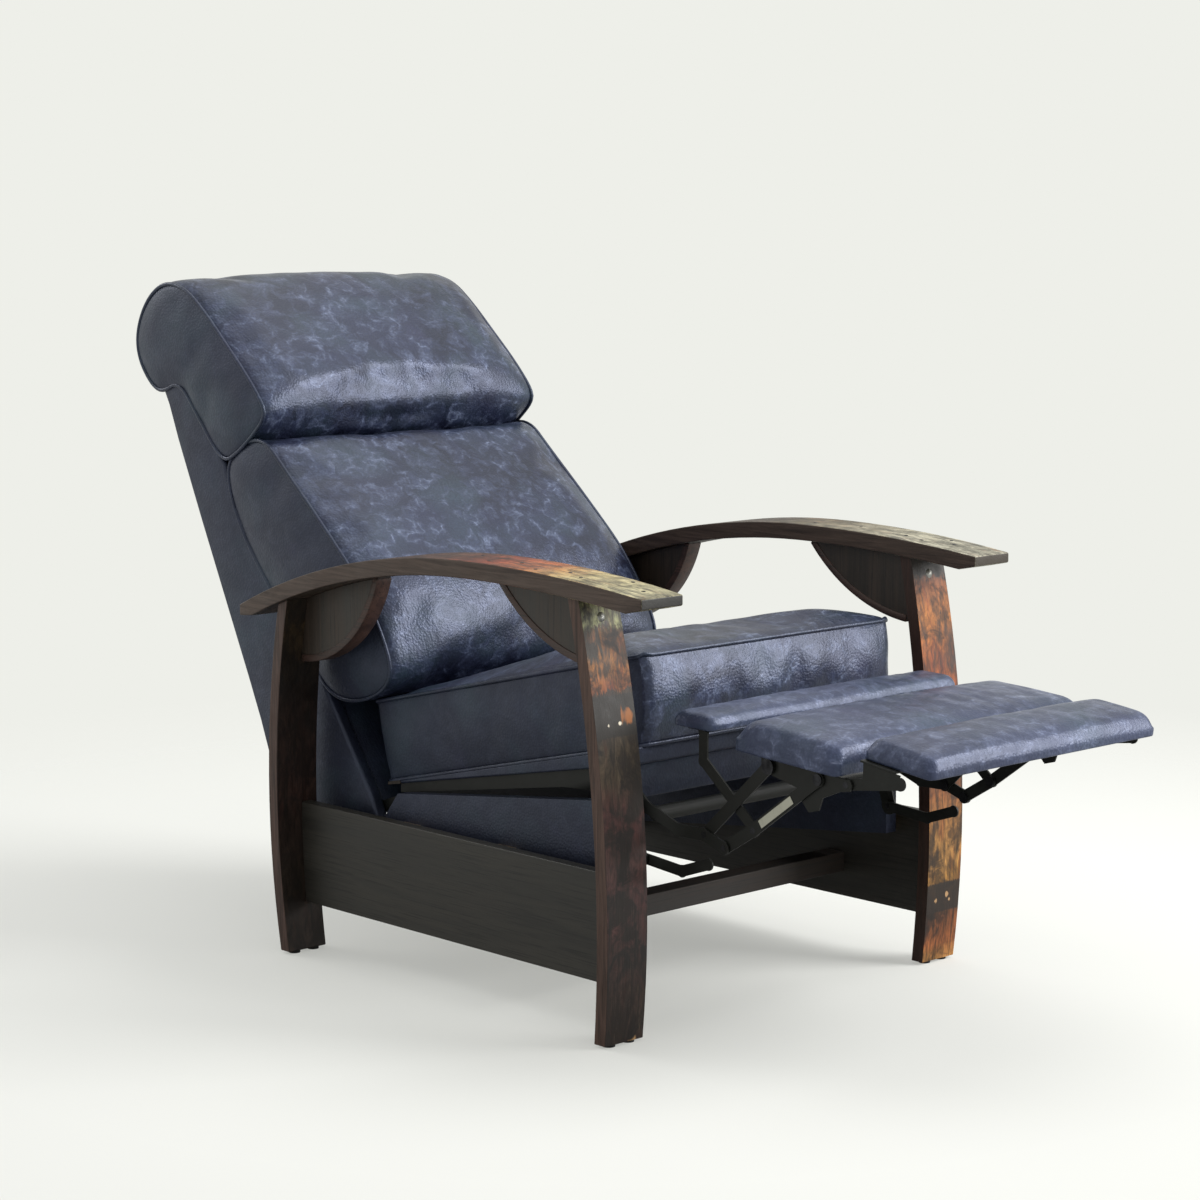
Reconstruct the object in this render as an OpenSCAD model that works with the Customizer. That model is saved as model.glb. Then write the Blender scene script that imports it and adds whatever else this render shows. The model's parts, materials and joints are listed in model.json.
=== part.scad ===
// Recliner with barrel-stave arms and legs, leather upholstery and a three-board footrest.
// Lengths are millimetres, Z is up, and the sitter faces -Y.
// Places along the chair are measured back from the front legs' faces and moved once, by placed().

/* [Overall] */
// Distance from the front legs' faces, at the floor, to the middle of the opened chair
middle_y = 377.5; // [330:0.5:420]
// Outside width over the front legs at the floor
leg_span = 744; // [725:1:770]

/* [Legs] */
// Width of a leg at its ends
leg_w = 73; // [66:1:80]
// Extra width of a leg at its bilge
leg_bilge = 5; // [0:1:8]
// Thickness of a leg
leg_t = 22; // [18:1:26]
// Outward lean of a leg in degrees
leg_lean = 0.85; // [0:0.05:1.5]
// Radius of the front legs' bend
front_leg_r = 1800; // [1500:10:2400]
// Height where the front legs' bend is fullest
front_leg_belly_z = 200; // [150:1:250]
// Radius of the rear legs' bend
rear_leg_r = 1500; // [1300:10:2000]
// Height where the rear legs' bend is fullest
rear_leg_belly_z = 225; // [180:1:270]
// Rear legs' rear face at the belly
rear_leg_y = 765; // [740:1:790]
// Radius of a foot glide
glide_r = 9; // [6:1:10]
// Height of a foot glide
glide_h = 4; // [3:0.5:6]

/* [Arms] */
// How far the arms' centre lines lie inside the legs' outer faces
arm_inset = 26; // [20:1:32]
// Width of an arm at its tips
arm_tip_w = 79; // [70:1:88]
// Width of an arm at its middle
arm_mid_w = 96; // [88:1:104]
// Thickness of an arm
arm_t = 26; // [22:1:30]
// How much thinner the arm's tips are
arm_chime = 11; // [0:1:14]
// Height of the arm's top at its crest
arm_crest_z = 666; // [650:1:690]
// Place of the crest
arm_crest_y = 258; // [240:1:280]
// Radius of the arm in front of the crest
arm_front_r = 2675; // [2300:10:3200]
// Radius of the arm behind the crest
arm_rear_r = 1417; // [1350:1:1500]
// Front tip of the arm
arm_front_y = -89; // [-100:1:-75]
// How far the arm reaches past the rear leg
arm_overhang = 58; // [40:1:70]
// Thickness of a corbel
corbel_t = 26; // [20:1:30]
// How far the corbels lie inside the legs' outer faces
corbel_inset = 30; // [24:1:34]
// Radius of the front corbel's edge
front_corbel_r = 302; // [280:1:340]
// Radius of the rear corbel's edge
rear_corbel_r = 205; // [195:1:230]

/* [Base] */
// How far the side panels lie inside the legs' outer faces
panel_inset = 41; // [36:1:47]
// Thickness of the side panels
panel_t = 20; // [16:1:22]
// Lower edge of the side panels
panel_z0 = 78; // [60:1:90]
// Upper edge of the side panels
panel_z1 = 238; // [225:1:250]
// Front face of the front stretcher
stretcher_y = 175; // [172:1:182]
// Depth of a stretcher
stretcher_d = 38; // [30:1:42]
// Height of a stretcher
stretcher_h = 32; // [26:1:36]
// Underside of the front stretcher
stretcher_z = 118; // [110:1:122]
// How far the rear stretcher lies in front of the rear legs
rear_stretcher_in = 115; // [90:1:130]
// Space between a side panel and its leather box rail
box_gap = 23; // [20:0.5:24]
// Thickness of the box rails
box_t = 22; // [18:1:24]

/* [Seat] */
// How far the seat cushion lies over the box rails
cushion_over = 5; // [0:1:8]
// Slope of the seat in degrees
seat_slope = 13; // [12:0.5:14]
// Depth of the seat cushion from front to rear
cushion_d = 594; // [590:1:600]
// Thickness of the seat cushion at its welts
cushion_h = 125; // [118:1:128]
// Crown of the seat cushion above its welts
cushion_crown = 22; // [10:1:26]
// Height of the cushion's lower front welt
cushion_z = 412; // [411:0.5:416]
// Place of the cushion's lower front welt
cushion_y = 38; // [36:0.5:42]
// Width of a seat frame rail
seat_rail_w = 28; // [24:1:32]
// Thickness of the seat frame's front rail
seat_rail_h = 26; // [22:1:28]
// Diameter of the seat spring wire
spring_d = 3.8; // [3:0.1:4.5]
// Number of seat springs
spring_n = 5; // [4:1:6]

/* [Back] */
// How far the back lies over the box rails
back_over = 19; // [12:1:21]
// How far the lumbar cushion lies inside the back's sides
lumbar_inset = 5; // [1:1:13]
// Swell of the lumbar cushion's front at its middle
lumbar_swell = 22; // [0:1:26]
// Swell of the headrest's front at its middle
headrest_swell = 24; // [0:1:28]
// Thickness of the shell's rear wall
shell_wall = 24; // [18:1:30]
// Width of a back frame stile
stile_w = 22; // [18:1:26]

/* [Footrest] */
// How far the small board's ends lie inside the box rails
small_inset = 4; // [4:1:10]
// How far the main board's ends lie over the box rails
main_over = 2; // [0:1:6]
// How far the flipper board's ends lie inside the box rails
flipper_inset = 25; // [24:1:34]
// Thickness of the plywood boards
ply_t = 12; // [9:1:14]
// Thickness of the linkage steel
link_t = 3; // [2.5:0.1:3]
// Gap between neighbouring layers of the linkage
layer_gap = 0.5; // [0.3:0.1:0.6]
// Width of a footrest link
link_w = 20; // [18:1:22]
// Radius of the footrest rivets
rivet_r = 4.5; // [3.5:0.1:5]
// Radius of a rivet head
rivet_head_r = 8; // [7:0.5:9]
// Radial clearance of a turning rivet
rivet_gap = 0.08; // [0.05:0.01:0.1]
// Outside radius of the torque tube
tube_r = 11; // [9:0.5:12]
// Wall of the torque tube
tube_wall = 2; // [1.5:0.1:3]

/* [Hidden] */

// Places across the chair, from the middle
arm_spacing = leg_span - 2 * arm_inset;
corbel_x = leg_span / 2 - corbel_inset;
panel_x = leg_span / 2 - panel_inset;
box_x = panel_x - panel_t - box_gap - box_t;
cushion_half = box_x + cushion_over;
back_half = box_x + back_over;
lumbar_half = back_half - lumbar_inset;
small_half = box_x - small_inset;
main_half = box_x + main_over;
flipper_half = box_x - flipper_inset;

// Places along the chair that follow the rear legs
arm_rear_y = rear_leg_y + arm_overhang;
rear_stretcher_y = rear_leg_y - rear_stretcher_in;

// Layers of the linkage, counted inwards from the box rail
layer_step = link_t + layer_gap;
function layer(i) = box_x - layer_gap - link_t - i * layer_step;
plate_layer = layer(0);
prop_layer = layer(1);
swing_layer = layer(2);
carry_layer = layer(3);
board_layer = layer(4);
flipper_layer = layer(5);

// Pivots of the footrest with the boards out, as [y, z]
swing_pivot = [70, 355];
swing_bend = [35, 324];
swing_rivet = [-29, 301];
carry_pivot = [-118, 289];
guide_rear = [-80, 302];
guide_front = [-200, 414];
main_pivot = [-292, 409];
small_pivot = [-171, 321];
small_bend = [-72, 404];
small_top = [-72, 444];
small_trim = 446;
flipper_pivot = [-338, 408];
flipper_tip = [-430, 421];
slim_w = link_w - 2;
prop_pivot = [40, 251];
prop_bend = [-40, 244];
prop_tip = [-92, 262];
tube_at = [20, 316];

// Pivots of the seat and the back
tilt_base = [150, 269.5];
tilt_seat = [88, 290];
seat_pivot = [555, 235];
back_pivot = [540, 268];
bracket_knee = [640, 232];
bracket_top = [700, 320];
bracket_w = 24;

// The seat's slope as a unit step
function seat_z(y) = cushion_z - (y - cushion_y) * tan(seat_slope);
seat_gap = 0.6;

/* Helpers */
module placed() {
    translate([0, -middle_y, 0]) children();
}

// Thickens a [y, z] outline along X from x0
module side(x0, w) {
    translate([x0, 0, 0]) rotate([90, 0, 90]) linear_extrude(w) children();
}

// The outline on the sitter's right (-1) or left (1), from distance d outwards
module flank(s, d, w) {
    side(s > 0 ? d : -d - w, w) children();
}

// Flat link through a list of points: round eyes of width w with narrower straps between them
strap_step = 2;
module link(points, w) {
    for (p = points) translate(p) circle(d = w, $fn = 48);
    for (i = [0 : len(points) - 2]) {
        d = points[i + 1] - points[i];
        translate(points[i]) rotate(atan2(d[1], d[0]))
            translate([0, strap_step / 2 - w / 2]) square([norm(d), w - strap_step]);
    }
}

module hole(p, r) {
    translate(p) circle(r = r, $fn = 48);
}

// Round pin along X at point p
module pin(x0, x1, p, r) {
    translate([x0, p[0], p[1]]) rotate([0, 90, 0]) cylinder(r = r, h = x1 - x0, $fn = 48);
}

// Pin between distances a and b from the middle on side s
module flank_pin(s, a, b, p, r) {
    pin(s > 0 ? a : -b, s > 0 ? b : -a, p, r);
}

bore_r = rivet_r + rivet_gap;
head_t = 2;

// Closed skin through rings of points, with a fan at each end
module loft(rings) {
    n = len(rings);
    m = len(rings[0]);
    function mid(r) = [for (k = [0 : 2]) sum([for (p = r) p[k]]) / m];
    points = concat([for (r = rings) for (p = r) p], [mid(rings[0]), mid(rings[n - 1])]);
    walls = [
        for (i = [0 : n - 2]) for (j = [0 : m - 1])
        let (a = i * m + j, b = i * m + (j + 1) % m)
        each [[a, b, a + m], [b, b + m, a + m]]
    ];
    first = [for (j = [0 : m - 1]) [n * m, (j + 1) % m, j]];
    last = [for (j = [0 : m - 1]) [n * m + 1, (n - 1) * m + j, (n - 1) * m + (j + 1) % m]];
    polyhedron(points = points, faces = concat(walls, first, last), convexity = 4);
}

function sum(v, i = 0) = i < len(v) ? v[i] + sum(v, i + 1) : 0;

// Rounds a closed outline once by cutting its corners
function soften(p) = [
    for (i = [0 : len(p) - 1])
    let (q = p[(i + 1) % len(p)])
    each [p[i] * 0.75 + q * 0.25, p[i] * 0.25 + q * 0.75]
];

// Shape of a swell across the width, 1 at the middle and 0 at the sides
function swell(u) = sqrt(max(0, 1 - pow(abs(u), 3)));

// Padded form over a side outline of [y, z, share]: each point swells outwards by its share of rise
module puffed(outline, half, rise, steps = 12) {
    m = len(outline);
    loft([
        for (i = [0 : steps])
        let (u = -cos(180 * i / steps), k = rise * swell(u))
        [
            for (j = [0 : m - 1])
            let (p = outline[j], d = outline[(j + 1) % m] - outline[(j + m - 1) % m])
            let (way = norm([d[0], d[1]]))
            [half * u, p[0] + k * p[2] * d[1] / way, p[1] - k * p[2] * d[0] / way]
        ]
    ]);
}

// Arm heights: top at t = 0 and underside at t = arm_t
function arm_z(y, t) =
    let (r = y < arm_crest_y ? arm_front_r : arm_rear_r)
    arm_crest_z - r + sqrt(pow(r - t, 2) - pow(y - arm_crest_y, 2));
arm_steps = 28;
arm_ys = [for (i = [0 : arm_steps]) arm_front_y + (arm_rear_y - arm_front_y) * i / arm_steps];
function arm_half(y) =
    let (mid = (arm_front_y + arm_rear_y) / 2, u = (y - mid) / (arm_rear_y - mid))
    arm_mid_w / 2 - (arm_mid_w - arm_tip_w) / 2 * u * u;

module above_arm() {
    polygon(concat([for (y = arm_ys) [y, arm_z(y, arm_t)]], [[arm_rear_y, far], [arm_front_y, far]]));
}

function tip_share(y) =
    max(0, 1 - min(y - arm_front_y, arm_rear_y - y) * arm_steps / (arm_rear_y - arm_front_y));
function arm_under(y) = arm_z(y, arm_t) + arm_chime * tip_share(y);

module arm(s) {
    intersection() {
        flank(s, arm_spacing / 2 - arm_mid_w / 2 - 1, arm_mid_w + 2) polygon(concat(
            [for (y = arm_ys) [y, arm_under(y)]],
            [for (i = [arm_steps : -1 : 0]) [arm_ys[i], arm_z(arm_ys[i], 0)]]
        ));
        translate([s * arm_spacing / 2, 0, 400]) linear_extrude(400) polygon(concat(
            [for (y = arm_ys) [arm_half(y), y]],
            [for (i = [arm_steps : -1 : 0]) [-arm_half(arm_ys[i]), arm_ys[i]]]
        ));
    }
}

// Height where the legs' outlines end, inside the arms, and a place well outside the chair for cuts
leg_top = 640;
far = 900;
leg_steps = 16;
leg_zs = [for (i = [0 : leg_steps]) glide_h + (leg_top - glide_h) * i / leg_steps];
function front_face(z) = -11 + pow(z - front_leg_belly_z, 2) / (2 * front_leg_r);
function rear_face(z) = rear_leg_y - pow(z - rear_leg_belly_z, 2) / (2 * rear_leg_r);
function leg_outer(z) = leg_span / 2 + z * tan(leg_lean);
function leg_swell(z) = leg_bilge / 2 * (1 - pow((z - leg_top / 2) / (leg_top / 2), 2));

// Outline of a leg seen from the front, on the sitter's left
module leg_front_view() {
    polygon(concat(
        [for (z = leg_zs) [leg_outer(z) + leg_swell(z), z]],
        [for (i = [leg_steps : -1 : 0]) let (z = leg_zs[i]) [leg_outer(z) - leg_w - leg_swell(z), z]]
    ));
}

// Leg whose front face follows the given places
module leg(s, faces) {
    difference() {
        intersection() {
            side(-far / 2, far) polygon(concat(
                [for (i = [0 : leg_steps]) [faces[i], leg_zs[i]]],
                [for (i = [leg_steps : -1 : 0]) [faces[i] + leg_t, leg_zs[i]]]
            ));
            mirror([s > 0 ? 0 : 1, 0, 0]) translate([0, far, 0]) rotate([90, 0, 0])
                linear_extrude(2 * far) leg_front_view();
        }
        side(-far / 2, far) above_arm();
    }
}

front_faces = [for (z = leg_zs) front_face(z)];
rear_faces = [for (z = leg_zs) rear_face(z) - leg_t];

module wood() { color("#2c211c") children(); }
module stave() { color("#4a3122") children(); }
module leather() { color("#3d4a6b") children(); }
module steel() { color("#1f1f21") children(); }
module bright() { color("#8d8d90") children(); }

module front_leg_right() { stave() placed() leg(-1, front_faces); }
module front_leg_left() { stave() placed() leg(1, front_faces); }
module rear_leg_right() { stave() placed() leg(-1, rear_faces); }
module rear_leg_left() { stave() placed() leg(1, rear_faces); }
module arm_right() { stave() placed() arm(-1); }
module arm_left() { stave() placed() arm(1); }

// Quarter-round brackets between the arms and the legs
front_corbel_foot = 529;
front_corbel_head = 258;
rear_corbel_foot = 466;
rear_corbel_run = 235;
corbel_cut = 80;
rear_corbel_head = rear_leg_y - rear_corbel_run;

// Centre of the circle of radius r through p and q, on the left of the way from p to q
function arc_centre(p, q, r) =
    let (d = q - p, len = norm(d), h = sqrt(r * r - len * len / 4))
    (p + q) / 2 + h * [-d[1], d[0]] / len;

module front_corbel(s) {
    foot = [front_face(front_corbel_foot) + leg_t, front_corbel_foot];
    head = [front_corbel_head, arm_z(front_corbel_head, arm_t)];
    centre = arc_centre(foot, head, front_corbel_r);
    flank(s, corbel_x - corbel_t, corbel_t) difference() {
        intersection() {
            translate(centre) circle(r = front_corbel_r, $fn = 240);
            polygon([foot, [head[0], foot[1] - corbel_cut], [head[0], far], [foot[0], far]]);
        }
        above_arm();
        polygon(concat(
            [for (i = [0 : leg_steps]) [front_faces[i] + leg_t, leg_zs[i]]],
            [[-far, leg_top], [-far, glide_h]]
        ));
    }
}

module rear_corbel(s) {
    foot = [rear_face(rear_corbel_foot) - leg_t, rear_corbel_foot];
    head = [rear_corbel_head, arm_z(rear_corbel_head, arm_t)];
    centre = arc_centre(head, foot, rear_corbel_r);
    flank(s, corbel_x - corbel_t, corbel_t) difference() {
        intersection() {
            translate(centre) circle(r = rear_corbel_r, $fn = 200);
            polygon([
                [head[0] - corbel_cut, far], [head[0] - corbel_cut, foot[1]], foot,
                [foot[0] + leg_t, foot[1]], [foot[0] + leg_t, far]
            ]);
        }
        above_arm();
        polygon(concat(
            [for (i = [0 : leg_steps]) [rear_faces[i], leg_zs[i]]],
            [[far, leg_top], [far, glide_h]]
        ));
    }
}

module front_corbel_right() { wood() placed() front_corbel(-1); }
module front_corbel_left() { wood() placed() front_corbel(1); }
module rear_corbel_right() { wood() placed() rear_corbel(-1); }
module rear_corbel_left() { wood() placed() rear_corbel(1); }

module side_panel(s) {
    flank(s, panel_x - panel_t, panel_t) difference() {
        translate([0, panel_z0]) square([rear_leg_y, panel_z1 - panel_z0]);
        polygon(concat(
            [for (i = [0 : leg_steps]) [front_faces[i] + leg_t, leg_zs[i]]],
            [[-far, leg_top], [-far, glide_h]]
        ));
        polygon(concat(
            [for (i = [0 : leg_steps]) [rear_faces[i], leg_zs[i]]],
            [[far, leg_top], [far, glide_h]]
        ));
    }
}

module side_panel_right() { wood() placed() side_panel(-1); }
module side_panel_left() { wood() placed() side_panel(1); }

panel_inner = panel_x - panel_t;

module stretcher(y) {
    translate([-panel_inner, y, stretcher_z]) cube([2 * panel_inner, stretcher_d, stretcher_h]);
}

module front_stretcher() { wood() placed() stretcher(stretcher_y); }
module rear_stretcher() { wood() placed() stretcher(rear_stretcher_y); }

// Leather-covered box rails that close the space under the seat
box_front_y = 47;
box_front_z = 334;
box_rear_y = 556;
box_slope = 7;
box_depth = 128;
box_notch_d = 30;
box_notch_h = 38;
function box_top(y) = box_front_z - (y - box_front_y) * tan(box_slope);

module box_outline() {
    polygon([
        [box_front_y, box_top(box_front_y) - box_depth],
        [box_rear_y + box_notch_d, box_top(box_rear_y) - box_depth],
        [box_rear_y + box_notch_d, box_top(box_rear_y) - box_notch_h],
        [box_rear_y, box_top(box_rear_y)],
        [box_front_y, box_top(box_front_y)]
    ]);
}

module box_rail(s) {
    difference() {
        flank(s, box_x, box_t) box_outline();
        for (p = [tilt_base, seat_pivot]) flank_pin(s, box_x - 1, box_x + stud_sink, p, rivet_r);
    }
}

stud_sink = 14;

module box_rail_right() { leather() placed() box_rail(-1); }
module box_rail_left() { leather() placed() box_rail(1); }

// Blocks that hold the box rails off the side panels
spacer_ys = [90, 300, 520];
spacer_w = 40;
spacer_h = 30;
spacer_drop = 8;

module box_spacers() {
    wood() placed() for (s = [-1, 1]) for (y = spacer_ys)
        flank(s, box_x + box_t, panel_inner - box_x - box_t)
            translate([y - spacer_w / 2, panel_z1 - spacer_h - spacer_drop]) square([spacer_w, spacer_h]);
}

// Domed bolt head near the top of each leg
bolt_r = 7;
bolt_rise = 3;
bolt_gap = 0.1;
front_bolt_z = 604;
rear_bolt_z = 520;

module dome(r, h) {
    ball = (r * r + h * h) / (2 * h);
    intersection() {
        translate([0, 0, h - ball]) sphere(r = ball, $fn = 96);
        cylinder(r = r, h = h, $fn = 48);
    }
}

module leg_bolts() {
    front = [front_face(front_bolt_z) - bolt_gap, front_bolt_z];
    rear = [rear_face(rear_bolt_z) + bolt_gap, rear_bolt_z];
    bright() placed() for (s = [-1, 1]) {
        translate([s * (leg_outer(front[1]) - leg_w / 2), front[0], front[1]])
            rotate([90 - atan((front[1] - front_leg_belly_z) / front_leg_r), 0, 0]) dome(bolt_r, bolt_rise);
        translate([s * (leg_outer(rear[1]) - leg_w / 2), rear[0], rear[1]])
            rotate([atan((rear[1] - rear_leg_belly_z) / rear_leg_r) - 90, 0, 0]) dome(bolt_r, bolt_rise);
    }
}

module foot_glides() {
    color("#151515") placed() for (s = [-1, 1])
        for (y = [front_face(0) + leg_t / 2, rear_face(0) - leg_t / 2])
            for (i = [-1, 1])
                translate([s * (leg_span / 2 - leg_w / 2) + i * leg_w / 4, y, 0])
                    cylinder(r = glide_r, h = glide_h, $fn = 48);
}

// Studs that the tilt links and the seat plates turn on
module base_studs() {
    bright() placed() for (s = [-1, 1]) {
        flank_pin(s, prop_layer, box_x + stud_sink, tilt_base, rivet_r);
        flank_pin(s, plate_layer, box_x + stud_sink, seat_pivot, rivet_r);
        flank_pin(s, plate_layer - layer_gap - head_t, plate_layer, seat_pivot, rivet_head_r);
    }
}

// Seat frame: its top follows the cushion's underside
seat_rear_y = 600;
frame_y = cushion_y + 2;
frame_rear_z = 277;
function frame_top(y) = seat_z(y) - seat_gap;
function frame_bottom(y) =
    let (z = frame_top(frame_y) - seat_rail_h)
    z + (frame_rear_z - z) * (y - frame_y) / (seat_rear_y - frame_y);

// Stretch of the frame between two places along the seat
module frame_outline(y0, y1) {
    polygon([[y0, frame_bottom(y0)], [y1, frame_bottom(y1)], [y1, frame_top(y1)], [y0, frame_top(y0)]]);
}

front_rail_d = 40;
rear_rail_d = 30;

module seat_side_rails() {
    leather() placed() for (s = [-1, 1])
        flank(s, cushion_half - seat_rail_w, seat_rail_w)
            frame_outline(frame_y + front_rail_d, seat_rear_y - rear_rail_d);
}

module seat_front_rail() {
    leather() placed() side(-cushion_half, 2 * cushion_half) frame_outline(frame_y, frame_y + front_rail_d);
}

module seat_rear_rail() {
    wood() placed() side(-cushion_half, 2 * cushion_half)
        frame_outline(seat_rear_y - rear_rail_d, seat_rear_y);
}

// Padded lower front rail that hangs from the seat frame, set back for the footrest
front_panel_y = 72;
front_panel_t = 22;
front_panel_inset = 30;
front_panel_half = box_x - front_panel_inset;
front_panel_z0 = 327;
module seat_front_panel() {
    leather() placed() side(-front_panel_half, 2 * front_panel_half) polygon([
        [front_panel_y, front_panel_z0],
        [front_panel_y + front_panel_t, front_panel_z0],
        [front_panel_y + front_panel_t, frame_bottom(front_panel_y + front_panel_t)],
        [front_panel_y, frame_bottom(front_panel_y)]
    ]);
}

// Cloth-covered board that closes the seat frame's rear end
rear_board_y = 588;
rear_board_t = 6;
rear_board_z0 = 190;
module seat_rear_panel() {
    end = rear_board_y + rear_board_t;
    wood() placed() side(-front_panel_half, 2 * front_panel_half) polygon([
        [rear_board_y, rear_board_z0], [end, rear_board_z0],
        [end, frame_bottom(end)], [rear_board_y, frame_bottom(rear_board_y)]
    ]);
}

// Sinuous seat springs, clipped between the front and rear rails
wave_n = 8;
wave_w = 44;
clip_gap = 0.3;
spring_front = frame_y + front_rail_d + clip_gap + spring_d / 2;
spring_rear = seat_rear_y - rear_rail_d - clip_gap - spring_d / 2;
wave_r = (spring_rear - spring_front) / cos(seat_slope) / (4 * wave_n);
spring_z_gap = 6;

// Square wave of wire, as thick as it is wide
module wave_spring() {
    pitch = 2 * wave_r;
    turns = 2 * wave_n;
    half = spring_d / 2;
    translate([0, 0, -half]) linear_extrude(spring_d) for (i = [0 : turns]) {
        end = (i % 2 == 0 ? 1 : -1) * wave_w / 2;
        translate([-wave_w / 2 - half, i * pitch - half]) square([wave_w + spring_d, spring_d]);
        if (i < turns) translate([end - half, i * pitch]) square([spring_d, pitch]);
    }
}

module seat_springs() {
    bright() placed() for (i = [0 : spring_n - 1]) {
        x = (i - (spring_n - 1) / 2) * 2 * (cushion_half - seat_rail_w) / spring_n;
        translate([x, spring_front, seat_z(spring_front) - spring_z_gap])
            rotate([-seat_slope, 0, 0]) wave_spring();
    }
}

// Seat cushion: welted box with a crowned top, swelling front and drawn-in sides
cushion_steps = 14;
top_steps = 8;
face_steps = 3;
face_swell = 8;
rear_dip = 5;
front_lean = 26;
rear_lean = 4;

// Crown over the front of the cushion, with a dip under the lumbar cushion
dip_at = 0.86;
function crown_at(u, t) = t < dip_at
    ? cushion_crown * swell(u) * sin(180 * pow(t / dip_at, 0.6))
    : -rear_dip * swell(u) * sin(180 * (t - dip_at) / (1 - dip_at));
function cushion_point(s, h) = [
    cushion_y + s * cos(seat_slope) + h * sin(seat_slope),
    cushion_z - s * sin(seat_slope) + h * cos(seat_slope)
];
function cushion_ring(u) = concat(
    [for (i = [0 : face_steps - 1]) let (t = i / face_steps)
        cushion_point(-front_lean * t - face_swell * sin(180 * t) * swell(u), cushion_h * t)],
    [for (i = [0 : top_steps]) let (t = i / top_steps)
        cushion_point(-front_lean + (cushion_d - rear_lean + front_lean) * t, cushion_h + crown_at(u, t))],
    [for (i = [1 : face_steps]) let (t = i / face_steps)
        cushion_point(cushion_d - rear_lean * (1 - t), cushion_h * (1 - t))],
    [for (i = [1 : 3]) let (t = i / 4) cushion_point(cushion_d * (1 - t), 0)]
);

module seat_cushion() {
    leather() placed() loft([
        for (i = [0 : cushion_steps])
        let (u = -cos(180 * i / cushion_steps), x = cushion_half * u)
        [for (p = cushion_ring(u)) [x, p[0], p[1]]]
    ]);
}

plate_front_y = 52;
plate_rear_y = 575;
plate_mid_h = 24;
plate_rear_h = 14;
plate_arm_w = 28;

// Steel side plates of the seat: they carry the footrest, the back and the tilt pivots
module seat_plate_outline() {
    difference() {
        union() {
            polygon([
                [plate_front_y, 340], [plate_front_y, frame_bottom(plate_front_y)],
                [plate_rear_y, frame_bottom(plate_rear_y)],
                [plate_rear_y, frame_bottom(plate_rear_y) - plate_rear_h],
                [200, frame_bottom(200) - plate_mid_h], [100, 335]
            ]);
            link([prop_pivot, swing_pivot, tilt_seat], plate_arm_w);
            link([back_pivot, seat_pivot], link_w);
        }
        hole(seat_pivot, bore_r);
    }
}

module seat_plate(s) {
    flank(s, plate_layer, link_t) seat_plate_outline();
}

module seat_plate_right() { steel() placed() seat_plate(-1); }
module seat_plate_left() { steel() placed() seat_plate(1); }

module seat_studs() {
    bright() placed() for (s = [-1, 1]) {
        flank_pin(s, swing_layer, plate_layer, swing_pivot, rivet_r);
        flank_pin(s, swing_layer - layer_gap - head_t, swing_layer, swing_pivot, rivet_head_r);
        for (p = [prop_pivot, tilt_seat]) flank_pin(s, prop_layer, plate_layer, p, rivet_r);
        flank_pin(s, prop_layer, plate_layer, back_pivot, rivet_r);
        flank_pin(s, prop_layer - layer_gap - head_t, prop_layer, back_pivot, rivet_head_r);
    }
}

// Outline of the back: outer leather shell, then the cushions in front of it
shell_front = [
    [606, 228], [628, 262], [750, 434], [872, 558], [940, 636], [974, 692], [995, 752], [1118, 890]
];
shell_rear = [
    [1166, 868], [1150, 840], [1126, 783], [1065, 655], [1003, 528], [941, 403], [912, 341], [861, 228]
];
shell_outline = concat(shell_front, shell_rear);

// The side panels clear the steel brackets by less than a full gap
bracket_gap = 0.2;
shell_inner = plate_layer - layer_gap + bracket_gap;

// The shell's side panels end on its rear panel, whose inner face lies lower as it slopes
shell_drop = 0.1;
module rear_panel_outline() {
    inner = [for (i = [len(shell_rear) - 1 : -1 : 0]) shell_rear[i] - shell_wall * [1, shell_drop]];
    intersection() {
        polygon(shell_outline);
        polygon(concat(shell_rear, inner));
    }
}

module back_side_panels() {
    leather() placed() for (s = [-1, 1]) flank(s, shell_inner, back_half - shell_inner) difference() {
        polygon(shell_outline);
        rear_panel_outline();
    }
}

module back_rear_panel() {
    leather() placed() side(-back_half, 2 * back_half) rear_panel_outline();
}

// Leather lining that closes the shell behind the lower end of the lumbar cushion
lining_in = 4;
lining_t = 5;
lining_z0 = 240;
lining_z1 = 495;
module back_lining() {
    half = prop_layer - layer_gap;
    leather() placed() side(-half, 2 * half) intersection() {
        polygon(concat(
            [for (i = [0 : 3]) shell_front[i] + [lining_in, 0]],
            [for (i = [3 : -1 : 0]) shell_front[i] + [lining_in + lining_t, 0]]
        ));
        translate([0, lining_z0]) square([shell_rear[0][0], lining_z1 - lining_z0]);
    }
}

stile_inner = prop_layer - stile_w;

// Wooden frame inside the shell: two stiles and three rails
stile_outline = [
    [672, 300], [800, 470], [960, 665], [1005, 735],
    [1050, 735], [1000, 640], [850, 455], [738, 300]
];
rail_ps = [[700, 312], [852, 500], [1006, 708]];
rail_size = 40;
back_lean = 39;

module back_stiles() {
    wood() placed() for (s = [-1, 1]) flank(s, stile_inner, stile_w) polygon(stile_outline);
}

module back_rails() {
    wood() placed() for (p = rail_ps)
        translate([-stile_inner, p[0], p[1]]) rotate([-back_lean, 0, 0])
            translate([0, -rail_size / 4, -rail_size / 2]) cube([2 * stile_inner, rail_size / 2, rail_size]);
}

// Elastic webbing across the back frame
web_n = 4;
web_w = 50;
web_t = 1.5;
web_low = stile_outline[0];
web_high = stile_outline[2];
web_margin = 0.08;

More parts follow.
